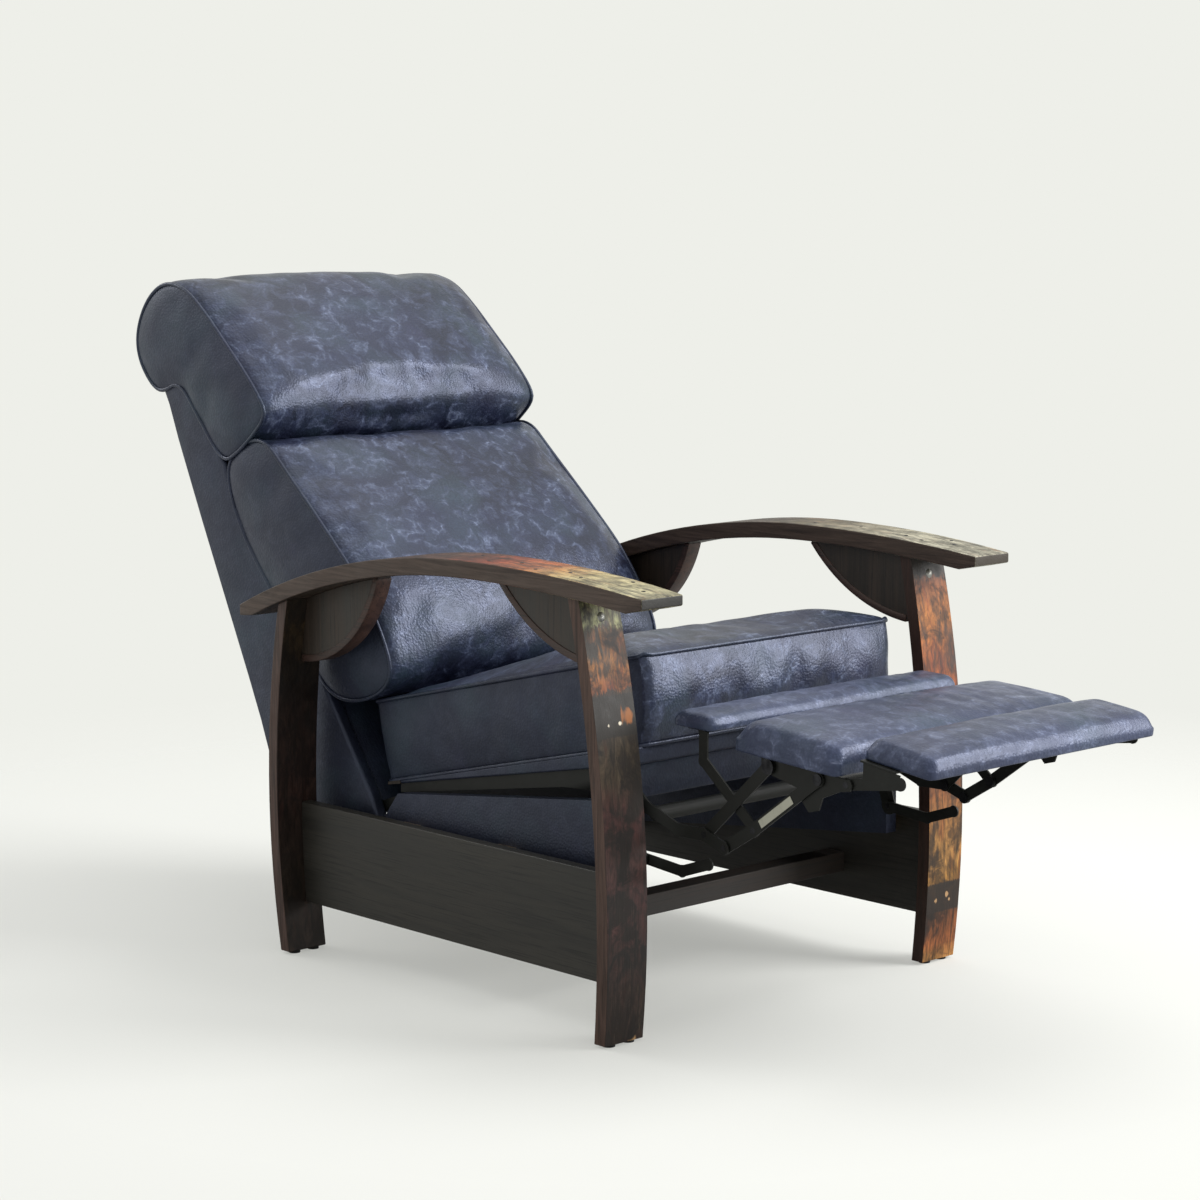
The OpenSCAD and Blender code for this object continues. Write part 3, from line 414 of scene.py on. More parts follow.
far_arm_oak = stave_oak("stave_oak_far_arm", Y, [
    (-90, "#B9B49E"), (60, "#B4AE96"), (180, "#9A9078"), (270, "#75684F"), (360, "#4E3F33"),
    (560, "#43372F"), (823, "#4E4238")
], edge="#54443A", seed=33.7, char=0.3, tip="#3C352C")
print("stave finishes", [m.name for m in bpy.data.materials if m.name.startswith("stave")])

# %% [markdown]
# ## Stained oak
# The side panels, corbels and stretchers are new oak, stained almost black and rubbed to a
# satin finish. The pores stay open, so they show as fine dark lines along the board, over a
# broad figure that repeats every 26 mm across it. Real pores are 0.3 mm wide, so their lines
# are drawn coarser, 2.4 mm apart. Bare pine and plywood take the same recipe in pale colours.

# %% Stained oak
def stained_oak(name, along, ground, light, rough=0.42):
    material, tree, shader, place = blank(name)
    pore = drawn_out(tree, place, along, 420, 9, 4, 0.6, 0.2)
    figure = drawn_out(tree, place, along, 38, 2.2, 4, 0.6, 1.0)
    base = layered(tree, colour(ground), [
        (figure, 0.35, 0.68, 1.0, light), (pore, 0.52, 0.66, 0.8, "#0E0C0A")
    ])
    tree.links.new(base, shader.inputs["Base Color"])
    satin = put(tree, "MapRange", {0: figure, 1: 0.3, 2: 0.7, 3: rough, 4: rough + 0.12})
    tree.links.new(satin, shader.inputs["Roughness"])
    relief(tree, shader, [(pore, 0.5, 0.3), (figure, 0.2, 0.6)])
    return material


panel_oak = stained_oak("stained_oak_panels", Y, "#23211D", "#33302A")
corbel_oak = stained_oak("stained_oak_corbels", Z, "#262019", "#3B2F26")
stretcher_oak = stained_oak("stained_oak_stretchers", X, "#211B17", "#33271F", 0.6)
bent_oak = stained_oak("bent_oak_bands", Y, "#33231D", "#4C352C", 0.45)
frame_pine = stained_oak("bare_pine_frame", X, "#A98A5E", "#C7A878", 0.6)
plywood = stained_oak("bare_plywood", X, "#9C7C52", "#B89A6C", 0.6)
print("finishes so far", len(bpy.data.materials))

# %% [markdown]
# ## Steel and other small finishes
# The linkage is stamped steel under black stoving enamel, which pools a little and wears to a
# duller skin. Moulded nylon, webbing and paper have a dull skin too, so they share its recipe.
# Rivets, studs and bolts are plated steel that has dulled and scratched. Wear comes in patches
# of 40 mm on enamel and 11 mm on plate.

# %% Enamelled and plated steel
def dull_skin(name, ground, worn):
    material, tree, shader, place = blank(name)
    wear = put(tree, "TexNoise", {
        "Vector": place, "Scale": 26, "Detail": 5, "Roughness": 0.65, "Distortion": 0.4
    })
    pimples = put(tree, "TexNoise", {"Vector": place, "Scale": 420, "Detail": 2, "Roughness": 0.5})
    base = layered(tree, colour(ground), [(wear, 0.52, 0.75, 1.0, worn)])
    tree.links.new(base, shader.inputs["Base Color"])
    dullness = put(tree, "MapRange", {0: wear, 1: 0.3, 2: 0.75, 3: 0.42, 4: 0.58})
    tree.links.new(dullness, shader.inputs["Roughness"])
    shader.inputs["Specular IOR Level"].default_value = 0.3
    relief(tree, shader, [(wear, 0.15, 0.5), (pimples, 0.2, 0.12)])
    return material


def plated_steel(name, ground, dull, rough):
    material, tree, shader, place = blank(name)
    wear = put(tree, "TexNoise", {"Vector": place, "Scale": 90, "Detail": 5, "Roughness": 0.65})
    scratch = drawn_out(tree, place, X, 60, 900, 2, 0.55, 0.0)
    base = layered(tree, colour(ground), [(wear, 0.4, 0.7, 1.0, dull)])
    tree.links.new(base, shader.inputs["Base Color"])
    shader.inputs["Metallic"].default_value = 1.0
    dullness = put(tree, "MapRange", {0: wear, 1: 0.3, 2: 0.7, 3: rough, 4: rough + 0.2})
    tree.links.new(dullness, shader.inputs["Roughness"])
    relief(tree, shader, [(wear, 0.2, 0.2), (scratch, 0.15, 0.08)])
    return material


black_enamel = dull_skin("black_enamelled_steel", "#11120F", "#1F201D")
black_rivet = plated_steel("black_oxide_steel", "#3A3A3D", "#232325", 0.32)
zinc_plate = plated_steel("dulled_zinc_plate", "#A3A39E", "#74746F", 0.34)
spring_wire = plated_steel("drawn_spring_wire", "#55585C", "#2E3033", 0.35)
glide_nylon = dull_skin("moulded_black_nylon", "#161616", "#242424")
web_cloth = dull_skin("woven_black_webbing", "#1B1C20", "#2C2E34")
label_paper = dull_skin("bare_paper_label", "#C9C7B4", "#A9A892")
print("finishes", len(bpy.data.materials))

# %% [markdown]
# ## Eased edges
# A sawn or stamped piece never has a knife edge. Each visible rigid piece is a merged copy of
# its CAD mesh: flat facets are dissolved into whole faces and the sharp edges are bevelled.
# On wood and steel a modifier then keeps the light even over each flat face.

# %% Rigid pieces with eased edges
def shown(name, shape, materials):
    """Makes a piece of a finished shape."""
    mesh = bpy.data.meshes.new(name)
    shape.to_mesh(mesh)
    shape.free()
    for material in materials:
        mesh.materials.append(material)
    return placed(name, mesh)


def smooth(piece, angle=32):
    """Shades a piece softly, except where faces meet at more than an angle in degrees."""
    piece.data.shade_smooth()
    piece.data.set_sharp_from_angle(angle=math.radians(angle))
    return piece


def merged(node):
    """A copy of a CAD node's mesh, with its loose triangles joined."""
    shape = bmesh.new()
    shape.from_mesh(frame["nodes"][node].data)
    bmesh.ops.remove_doubles(shape, verts=shape.verts, dist=2e-6)
    return shape


def bevelled(shape, sharp, width, segments):
    """Rounds the edges where faces meet at more than an angle, by so many millimetres."""
    edges = [e for e in shape.edges if len(e.link_faces) == 2 and e.calc_face_angle(0) > sharp]
    bmesh.ops.bevel(
        shape, geom=edges, offset=width / METRE, offset_type="OFFSET", segments=segments,
        profile=0.5, affect="EDGES", material=-1, clamp_overlap=True
    )


def eased(node, material, width, segments=2, sharp=28, shape=None, flat=True):
    """Puts an eased copy of a node, or a shape made from it, in the node's place."""
    shape = shape or merged(node)
    bmesh.ops.dissolve_limit(shape, angle_limit=math.radians(0.4), verts=shape.verts, edges=shape.edges)
    bevelled(shape, math.radians(sharp), width, segments)
    piece = smooth(shown(node + "_eased", shape, [material]))
    if flat:
        piece.modifiers.new("flat_faces", "WEIGHTED_NORMAL").keep_sharp = True
    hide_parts(node)
    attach(piece, frame["nodes"][node]["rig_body"])
    return piece


# %% Wooden and steel pieces
LEG_EDGE, ARM_EDGE, CORBEL_EDGE, BOARD_EDGE, STEEL_EDGE = 1.8, 2.2, 1.2, 1.5, 0.5

for slot, material, width, *nodes in (
    ("stave_wood", near_leg_oak, LEG_EDGE, "front_leg_right"),
    ("stave_wood", far_leg_oak, LEG_EDGE, "front_leg_left"),
    ("stave_wood", rear_leg_oak, LEG_EDGE, "rear_leg_right", "rear_leg_left"),
    ("stave_wood", near_arm_oak, ARM_EDGE, "arm_right"),
    ("stave_wood", far_arm_oak, ARM_EDGE, "arm_left"),
    ("panel_wood", corbel_oak, CORBEL_EDGE, "front_corbel_right", "front_corbel_left"),
    ("panel_wood", corbel_oak, CORBEL_EDGE, "rear_corbel_right", "rear_corbel_left"),
    ("panel_wood", panel_oak, BOARD_EDGE, "side_panel_right", "side_panel_left"),
    ("panel_wood", stretcher_oak, BOARD_EDGE, "front_stretcher", "rear_stretcher"),
    ("black_steel", black_enamel, STEEL_EDGE, "seat_plate_right", "seat_plate_left", "back_brackets"),
    ("black_steel", black_enamel, STEEL_EDGE, "swing_link_right", "swing_link_left", "carry_links"),
    ("black_steel", black_enamel, STEEL_EDGE, "guide_links", "prop_links", "tilt_links"),
    ("black_steel", black_enamel, STEEL_EDGE, "small_brackets", "main_brackets", "flipper_brackets"),
):
    for node in nodes:
        eased(node, material, width)

# %% [markdown]
# ## Pieces that keep their CAD shape
# Rivets, studs, screws, glides and the parts hidden in the seat and back are right as they
# are, so each only takes its finish.

# %% Finishes on CAD pieces
def paint(material, *nodes):
    for node in nodes:
        piece = frame["nodes"][node]
        piece.data.materials.clear()
        piece.data.materials.append(material)
        smooth(piece)
    print(material.name, "on", *nodes)


paint(zinc_plate, "leg_bolts", "base_studs", "board_screws")
paint(black_rivet, "seat_studs", "swing_rivets", "carry_rivets", "main_rivets")
paint(black_enamel, "torque_tube")
paint(glide_nylon, "foot_glides")
paint(web_cloth, "back_webbing", "seat_rear_panel")
paint(stretcher_oak, "seat_rear_rail")
paint(frame_pine, "back_stiles", "back_rails", "box_spacers")
paint(plywood, "small_board", "main_board", "flipper_board")
paint(spring_wire, "seat_springs")

# %% [markdown]
# ## Corbel bands
# A thin strip of oak is bent and glued round the curved edge of each corbel. It is a spin of a
# small rectangle about the centre of the corbel's own arc.

# %% Bent bands on the corbels
CORBEL_MIDDLE = 329
BAND_THICK, BAND_WIDE, BAND_EDGE = 11, 29, 1.2
BAND_SHARP = 0.6


def everything(shape):
    return shape.verts[:] + shape.edges[:] + shape.faces[:]


def bent_band(name, side, centre, start, turn, radius):
    """A band just inside an arc, given by its centre (y, z), its start and turn, and its radius."""
    shape = bmesh.new()
    bmesh.ops.create_grid(shape, x_segments=1, y_segments=1, size=0.5)
    pivot = at(side * CORBEL_MIDDLE, *centre)
    angle = math.radians(start)
    for v in shape.verts:
        across = v.co.x * BAND_WIDE / METRE
        reach = (radius - BAND_THICK / 2 + v.co.y * BAND_THICK) / METRE
        v.co = pivot + Vector((across, reach * math.cos(angle), reach * math.sin(angle)))
    bmesh.ops.spin(
        shape, geom=everything(shape), cent=pivot, axis=(1, 0, 0), angle=math.radians(turn),
        steps=28, use_merge=False
    )
    bmesh.ops.recalc_face_normals(shape, faces=shape.faces)
    bevelled(shape, BAND_SHARP, BAND_EDGE, 2)
    piece = smooth(shown(name, shape, [bent_oak]))
    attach(piece, "base")
    print(name, len(piece.data.polygons), "faces")


for word, side in SIDES:
    bent_band("front_corbel_band_" + word, side, (23.6, 830.5), -84, 44, 303.2)
    bent_band("rear_corbel_band_" + word, side, (726.6, 670.9), -163, 71, 206.2)

# %% [markdown]
# ## Nails and label
# Old cooperage nails still show as dark heads in the arms. Each is a squashed sphere, set
# where a ray from above meets the arm. The mechanism carries a small paper label, left bare,
# on the outer face of its right carrying link.

# %% Nails and label
NAIL_RADIUS, NAIL_PROUD = 3.2, 0.9
ABOVE_THE_ARMS = 900
LABEL_WIDE, LABEL_THICK, LABEL_CURL = 11.5, 0.5, 0.35


def nails(name, arm, places):
    shape = bmesh.new()
    size = Matrix.Diagonal((NAIL_RADIUS / METRE, NAIL_RADIUS / METRE, NAIL_PROUD / METRE, 1))
    for x, y in places:
        above = at(x, y, ABOVE_THE_ARMS)
        _, where, facing, _ = bpy.data.objects[arm + "_eased"].ray_cast(above, (0, 0, -1))
        turn = facing.to_track_quat("Z", "Y").to_matrix().to_4x4()
        bmesh.ops.create_uvsphere(
            shape, u_segments=14, v_segments=8, radius=1, matrix=Matrix.Translation(where) @ turn @ size
        )
    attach(smooth(shown(name, shape, [black_rivet]), 180), "base")
    print(name, len(places))


def paper_label(node, x, start, end):
    """A strip of paper stuck on a link, from start to end, each (y, z)."""
    shape = bmesh.new()
    bmesh.ops.create_grid(shape, x_segments=16, y_segments=3, size=0.5)
    first, last = Vector(start), Vector(end)
    across = Vector((last.y - first.y, first.x - last.x)).normalized() * LABEL_WIDE
    for v in shape.verts:
        p = first.lerp(last, v.co.x + 0.5) + across * v.co.y
        lift = LABEL_CURL * noise.noise(Vector((p.x * 0.09, p.y * 0.09, 2.0)))
        v.co = at(x - LABEL_THICK - lift, p.x, p.y)
    bmesh.ops.recalc_face_normals(shape, faces=shape.faces)
    bmesh.ops.solidify(shape, geom=everything(shape), thickness=LABEL_THICK / METRE)
    bmesh.ops.recalc_face_normals(shape, faces=shape.faces)
    label = smooth(shown("paper_label", shape, [label_paper]), 40)
    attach(label, frame["nodes"][node]["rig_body"])
    print("label", round((last - first).length, 1), "mm long")


bpy.context.view_layer.update()
nails("arm_nails_right", "arm_right", [
    (-349, 194), (-372, 139), (-349, 92), (-362, 56), (-318, -2), (-347, -53), (-370, 241), (-330, 300)
])
nails("arm_nails_left", "arm_left", [(338, 76), (327, 35), (347, -13), (368, 10), (350, 180), (330, 260)])
link_face = min(v.co.x for v in frame["nodes"]["carry_links"].data.vertices) * METRE
paper_label("carry_links", link_face, (-186, 332), (-245, 375))

# %% [markdown]
# ## Gridded blocks
# A cushion starts as a block cut into an even grid, so that cloth can move it and a later
# subdivision stays smooth. Each face of the block becomes one sewn panel, and the rows between
# panels are the seams that piping follows. The block runs from -1 to 1 across, from front to
# rear and upwards, and these three are called a, b and c. Past EDGE a point lies on a face.

# %% A gridded block
EDGE = 0.9999


def runs_along(edge, axis):
    start, end = (v.co for v in edge.verts)
    return all(abs(start[k] - end[k]) < 1e-6 for k in range(3) if k != axis)


def gridded_block(counts):
    """A block cut into so many steps each way."""
    shape = bmesh.new()
    bmesh.ops.create_cube(shape, size=2)
    for axis, count in enumerate(counts):
        edges = [edge for edge in shape.edges if runs_along(edge, axis)]
        bmesh.ops.subdivide_edges(shape, edges=edges, cuts=count - 1, use_grid_fill=True)
    return shape


def marks(counts, test):
    """Which points of a gridded block pass a test on their place in the block."""
    block = gridded_block(counts)
    found = [v.index for v in block.verts if test(*v.co)]
    block.free()
    return found


def ordered(counts, test, turn):
    """Points of a block that pass a test, in order round it."""
    block = gridded_block(counts)
    found = sorted((turn(*v.co), v.index) for v in block.verts if test(*v.co))
    block.free()
    return [i for _, i in found]


# %% Lines round a panel
def eased_loop(points, rounds):
    """Cuts the corners of a closed line."""
    line = [Vector(p) for p in points]
    for _ in range(rounds):
        line = [p.lerp(q, share) for p, q in zip(line, line[1:] + line[:1]) for share in (0.25, 0.75)]
    return line


def even_loop(points, count):
    """Even steps round a closed line, whose third values are carried along."""
    closed = points + points[:1]
    reach = [0.0]
    for p, q in zip(closed, closed[1:]):
        reach.append(reach[-1] + (q - p).xy.length)
    made, k = [], 0
    for i in range(count):
        goal = reach[-1] * i / count
        while reach[k + 1] < goal:
            k += 1
        made.append(closed[k].lerp(closed[k + 1], (goal - reach[k]) / (reach[k + 1] - reach[k])))
    return made


# %% [markdown]
# ## Cloth
# Leather over foam is a skin under light pressure, held at its seams. Blender's cloth does
# just that: the seam rows are pinned, the skin is cut a little too large, and pressure fills
# it, so it swells between the seams and puckers along them. A cap keeps each point near the
# shape it came from.

# %% Cloth that fills the cushions
FILL_STEPS = 16
waiting = []


def to_fill(piece, pinned, pressure, cap, spare):
    """Holds rows of a piece for the cloth. The cap is in millimetres, spare is a share of the skin."""
    group = piece.vertex_groups.new(name="seams")
    group.add(pinned, 1.0, "REPLACE")
    waiting.append((piece, pressure, cap, spare))


def start_cloth(piece, pressure, spare):
    cloth = piece.modifiers.new("fill", "CLOTH")
    rules = cloth.settings
    rules.quality = 5
    rules.mass = 0.4
    rules.tension_stiffness = rules.compression_stiffness = 12
    rules.shear_stiffness = 6
    rules.bending_stiffness = 0.8
    rules.use_pressure = True
    rules.uniform_pressure_force = pressure
    rules.vertex_group_mass = "seams"
    rules.shrink_min = rules.shrink_max = -spare
    rules.effector_weights.gravity = 0
    cloth.collision_settings.use_collision = False
    cloth.point_cache.frame_start, cloth.point_cache.frame_end = 1, FILL_STEPS + 1


def evened(moves, edges, rounds=3):
    """Averages each point's move with those of its neighbours. Points that are held stay."""
    held = [move.length < 1e-6 for move in moves]
    for _ in range(rounds):
        sums = [move.copy() for move in moves]
        shares = [1] * len(moves)
        for edge in edges:
            a, b = edge.vertices
            sums[a] += moves[b]
            sums[b] += moves[a]
            shares[a] += 1
            shares[b] += 1
        moves = [move if still else total / n for move, still, total, n in zip(moves, held, sums, shares)]
    return moves


def keep_filled(piece, cap, depsgraph):
    """Makes the filled skin the piece's own mesh, with no point moved farther than the cap."""
    filled = bpy.data.meshes.new_from_object(piece.evaluated_get(depsgraph))
    before = [v.co.copy() for v in piece.data.vertices]
    moves = [v.co - start for v, start in zip(filled.vertices, before)]
    farthest = max(move.length for move in moves)
    for v, start, move in zip(filled.vertices, before, evened(moves, filled.edges)):
        v.co = start + move * min(1, cap / METRE / max(move.length, 1e-9))
    piece.modifiers.clear()
    piece.data = filled
    piece.vertex_groups.clear()
    print(piece.name, "moved up to", round(farthest * METRE, 1), "mm")


def fill_all():
    scene = bpy.context.scene
    scene.frame_set(1)
    for piece, pressure, _, spare in waiting:
        start_cloth(piece, pressure, spare)
    for step in range(2, FILL_STEPS + 2):
        scene.frame_set(step)
    depsgraph = bpy.context.evaluated_depsgraph_get()
    for piece, _, cap, _ in waiting:
        keep_filled(piece, cap, depsgraph)
    scene.frame_set(1)


# %% [markdown]
# ## Seat cushion
# A welted box: a crowned top, four walls and a flat underside. It slopes 13 degrees, so its
# front wall leans forwards against that to stand upright. The walls belly out between their
# two seams and fold softly.

# %% The seat cushion's shape
SLOPE = math.radians(13)
SEAT_HALF, SEAT_DEPTH, SEAT_HIGH, SEAT_CORNER = 268.0, 592.0, 125.0, 24
FRONT_LEAN, REAR_LEAN = 26, 4
CROWN, CROWN_RIPPLE = 30, 2.2
FRONT_BELLY, FRONT_FOLD = 9, 4.5
SIDE_BELLY, SIDE_FOLD = 2, 1.2
SEAT_COUNTS = (60, 64, 14)


def seat_place(x, s, h):
    """A place from millimetres across, down the slope from the cushion's front, and up from it."""
    y = 38 + s * math.cos(SLOPE) + h * math.sin(SLOPE)
    z = 412 - s * math.sin(SLOPE) + h * math.cos(SLOPE)
    return at(x, y, z)


def rounded_corner(a, b, half_a, half_b, radius):
    """A place in a rectangle, bent so that the rectangle's corners are round."""
    x, y = a * half_a, b * half_b
    dx, dy = abs(x) - (half_a - radius), abs(y) - (half_b - radius)
    if dx > 0 and dy > 0:
        u, v = dx / radius, dy / radius
        x = math.copysign(half_a - radius + radius * u * math.sqrt(1 - v * v / 2), x)
        y = math.copysign(half_b - radius + radius * v * math.sqrt(1 - u * u / 2), y)
    return x, y


def seat_point(a, b, c):
    """Where a point of the block lies on the cushion."""
    x, s = rounded_corner(a, b, SEAT_HALF, SEAT_DEPTH / 2, SEAT_CORNER)
    rearwards = (s + SEAT_DEPTH / 2) / SEAT_DEPTH
    t = (c + 1) / 2
    s_at = (1 - rearwards) * (-FRONT_LEAN * t) + rearwards * (SEAT_DEPTH - REAR_LEAN * (1 - t))
    h = SEAT_HIGH * t
    if c > EDGE:
        lengthwise = max(0.0, math.sin(math.pi * min(1, rearwards / 0.92) ** 0.5))
        over = (1 - abs(a) ** 6) ** 0.5 * lengthwise
        stretch = noise.noise(Vector((x * 0.019, s * 0.007, 8.1)))
        h += CROWN * over + CROWN_RIPPLE * stretch * over
    elif c > -EDGE:
        belly = math.sin(math.pi * t) ** 0.8
        if b < -EDGE:
            fold = noise.noise(Vector((x * 0.021, 0.6 * t, 3.7)))
            s_at -= (FRONT_BELLY + FRONT_FOLD * fold) * belly
        elif abs(a) > EDGE:
            fold = noise.noise(Vector((s * 0.012, 2.3, 5.1)))
            x += math.copysign((SIDE_BELLY + SIDE_FOLD * fold) * belly, x)
    return seat_place(x, s_at, h)


# %% Seat cushion
def seat_held(a, b, c):
    """The seams round the top and the underside, and the whole underside, are held."""
    return abs(c) > EDGE and (max(abs(a), abs(b)) > EDGE or c < 0)


shape = gridded_block(SEAT_COUNTS)
for v in shape.verts:
    v.co = seat_point(*v.co)
seat_cushion = smooth(shown("seat_cushion_leather", shape, [front_leather, side_leather_painted_shade]), 180)
# Sideways faces take the side leather, whose darker tone is partly painted shade.
for face in seat_cushion.data.polygons:
    face.material_index = int(abs(face.normal.x) > 0.7)
to_fill(seat_cushion, marks(SEAT_COUNTS, seat_held), pressure=3.0, cap=8, spare=0.014)
print("seat cushion points", len(seat_cushion.data.vertices))

# %% [markdown]
# ## Lumbar cushion and headrest
# Both are wrapped rolls: one long panel goes over the front, and a shaped panel closes each
# side. The side panel's outline is drawn once, as four lines, and the block is stretched
# between them. The long panel swells between its two piped edges.

# %% A wrapped cushion
def wrapped(name, outline, half, counts, seed):
    """A roll over a closed side outline of (y, z, swell), run up the front, over and down the rear."""
    _, up, deep = counts
    total = 2 * (up + deep)
    ring = even_loop(eased_loop(outline, 3), total)
    middle = sum((p.xy for p in ring), Vector((0, 0))) / total

    def step_of(b, c):
        """The ring's step at the rim point (b, c) of a side panel."""
        i, j = round((b + 1) / 2 * up), round((c + 1) / 2 * deep)
        if c > EDGE:
            return i
        if b > EDGE:
            return up + deep - j
        if c < -EDGE:
            return up + deep + up - i
        return (total - deep + j) % total

    def rim(b, c):
        return ring[step_of(b, c) % total].xy

    def inside(b, c):
        """A place in the side panel, stretched between its four lines."""
        t, s = (b + 1) / 2, (c + 1) / 2
        sides = rim(b, -1) * (1 - s) + rim(b, 1) * s + rim(-1, c) * (1 - t) + rim(1, c) * t
        low = rim(-1, -1) * (1 - s) + rim(-1, 1) * s
        high = rim(1, -1) * (1 - s) + rim(1, 1) * s
        return sides - low * (1 - t) - high * t

    shape = gridded_block(counts)
    for v in shape.verts:
        a, b, c = v.co
        x = a * half
        if max(abs(b), abs(c)) > EDGE:
            k = step_of(b, c) % total
            way = ring[(k + 2) % total].xy - ring[k - 2].xy
            out = Vector((-way.y, way.x)).normalized()
            if out.dot(ring[k].xy - middle) < 0:
                out = -out
            around = (1 - abs(a) ** 3) ** 0.5 if abs(a) < EDGE else 0
            fold = noise.noise(Vector((x * 0.02, k * 0.05, seed)))
            p = ring[k].xy + out * ring[k].z * around * (1 + 0.07 * fold)
        else:
            p = inside(b, c)
            x += math.copysign(4 * (1 - b * b) * (1 - c * c), a)
        v.co = at(x, p.x, p.y)
    piece = smooth(shown(name, shape, [front_leather, side_leather_painted_shade]), 180)
    # Sideways faces take the side leather, whose darker tone is partly painted shade.
    for face in piece.data.polygons:
        on_side = abs(face.normal.x) > 0.75 and abs(face.center.x) > (half - 12) / METRE
        face.material_index = int(on_side)
    return piece


# %% Lumbar cushion and headrest
LUMBAR_COUNTS, HEAD_COUNTS = (62, 40, 20), (62, 30, 26)


def side_seam(a, b, c):
    return abs(a) > EDGE and max(abs(b), abs(c)) > EDGE


def lumbar_held(a, b, c):
    """The side seams and the rear are held."""
    return side_seam(a, b, c) or c < -EDGE


def headrest_held(a, b, c):
    """The side seams and all but the ends of the rear are held."""
    return side_seam(a, b, c) or (c < -EDGE and abs(b) < 0.9)


lumbar = wrapped("lumbar_cushion_leather", [
    (590, 428, 4), (572, 462, 12), (600, 520, 20), (650, 590, 24), (744, 674, 25), (846, 760, 18),
    (884, 794, 8), (930, 796, 1), (990, 758, 0), (984, 700, 0), (944, 630, 0), (876, 552, 0),
    (755, 428, 0), (712, 400, 0), (650, 402, 0)
], 282, LUMBAR_COUNTS, 5.0)
headrest = wrapped("headrest_leather", [
    (884, 832, 6), (886, 852, 16), (934, 902, 25), (987, 948, 27), (1040, 995, 25), (1092, 1032, 18),
    (1150, 1044, 11), (1202, 1016, 7), (1235, 962, 4), (1232, 915, 2), (1196, 872, 0), (1164, 860, 0),
    (1116, 882, 0), (1062, 822, 0), (1000, 754, 0), (960, 770, 0), (912, 806, 0)
], 285, HEAD_COUNTS, 9.0)
to_fill(lumbar, marks(LUMBAR_COUNTS, lumbar_held), pressure=3.2, cap=9, spare=0.018)
to_fill(headrest, marks(HEAD_COUNTS, headrest_held), pressure=3.2, cap=9, spare=0.016)
print("back cushion points", len(lumbar.data.vertices), len(headrest.data.vertices))

# %% [markdown]
# ## Footrest pads
# Each board carries a foam pad under tight leather. The leather is pulled round the edges and
# stapled below, so the pad stands upright at its rim, then domes over, held at its lower rim.

# %% Domed pads
PAD_CORNER = 13


def pillow(name, half, depth, high, edge, rise, counts, place):
    """A pad as wide as twice half: upright up to edge, then domed to high over the width rise."""
    shape = gridded_block(counts)
    for v in shape.verts:
        a, b, c = v.co
        x, y = rounded_corner(a, b, half, depth / 2, PAD_CORNER)
        z = edge * (c + 1) / 2
        if c > EDGE:
            u = max(0.0, abs(x) - half + rise * 0.6) / (rise * 0.6)
            w = max(0.0, abs(y) - depth / 2 + rise) / rise
            dome = math.sqrt(max(0.0, 1 - min(1.0, math.hypot(u, w)) ** 2))
            crown = 0.72 + 0.28 * (1 - b * b) * (1 - a ** 4)
            z += (high - edge) * dome * crown
            z += 1.2 * noise.noise(Vector((x * 0.045, y * 0.013, high))) * dome ** 3
        v.co = place(x, y + depth / 2, z)
    # The pads' leather is lighter partly as painted sheen.
    return smooth(shown(name, shape, [pad_leather_painted_sheen]), 180)


def on_board(rear, front):
    """The frame of a board: along runs from its rear end to its front end."""
    start, way = Vector(rear), (Vector(front) - Vector(rear)).normalized()
    rise = Vector((way.y, -way.x))

    def place(x, along, high):
        p = start + way * along + rise * high
        return at(x, p.x, p.y)
    return place


def underside(a, b, c):
    return c < -EDGE


pads = {}
for word, rear, front, half, high, edge, rise, counts in (
    ("small", (-19, 450), (-97, 448.5), 262, 27, 9, 20, (84, 16, 3)),
    ("main", (-143, 431), (-335, 419), 268, 54, 18, 40, (90, 30, 4)),
    ("flipper", (-357, 445), (-476, 430), 241, 39, 12, 30, (84, 22, 3)),
):
    depth = (Vector(front) - Vector(rear)).length
    pad = pillow(word + "_pad_leather_painted_sheen", half, depth, high, edge, rise, counts, on_board(rear, front))
    to_fill(pad, marks(counts, underside), pressure=1.0, cap=1.2, spare=0.002)
    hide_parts(word + "_pad", word + "_board")
    pads[word] = pad
    print(pad.name, round(depth), "mm from rear to front")

# %% [markdown]
# ## Leather-covered frame
# The back's shell, the box rails and the seat's front rails are boards under thin padding.
# They are eased copies of their CAD meshes, with broad round edges and the duller side
# leather, whose darker tone is partly painted shade. The shell's sides and rear are joined
# first, so that one skin covers them. The lining is spread a little and both reach lower,
# where leather is tucked under their ends.

# %% Covered rails and shell
TUCK = 12
LINING_SPREAD = 1.02


def lowered(shape):
    """Pulls a shape's lowest points down."""
    bottom = min(v.co.z for v in shape.verts)
    for v in shape.verts:
        if v.co.z < bottom + 1 / METRE:
            v.co.z -= TUCK / METRE


def joined(first, second):
    """One shape from two nodes that lie against each other."""
    pair = [shown("half_of_" + node, merged(node), []) for node in (first, second)]
    union = pair[0].modifiers.new("union", "BOOLEAN")
    union.operation, union.solver, union.object = "UNION", "EXACT", pair[1]
    bpy.context.view_layer.update()
    whole = bpy.data.meshes.new_from_object(pair[0].evaluated_get(bpy.context.evaluated_depsgraph_get()))
    shape = bmesh.new()
    shape.from_mesh(whole)
    for half in pair:
        bpy.data.objects.remove(half)
    bmesh.ops.remove_doubles(shape, verts=shape.verts, dist=2e-5)
    lowered(shape)
    return shape


def covered(node, width, segments, shape=None):
    """A board under leather, rounded by so many millimetres."""
    piece = eased(node, side_leather_painted_shade, width, segments, sharp=40, shape=shape, flat=False)
    print(node, "covered,", len(piece.data.polygons), "faces")
    return piece


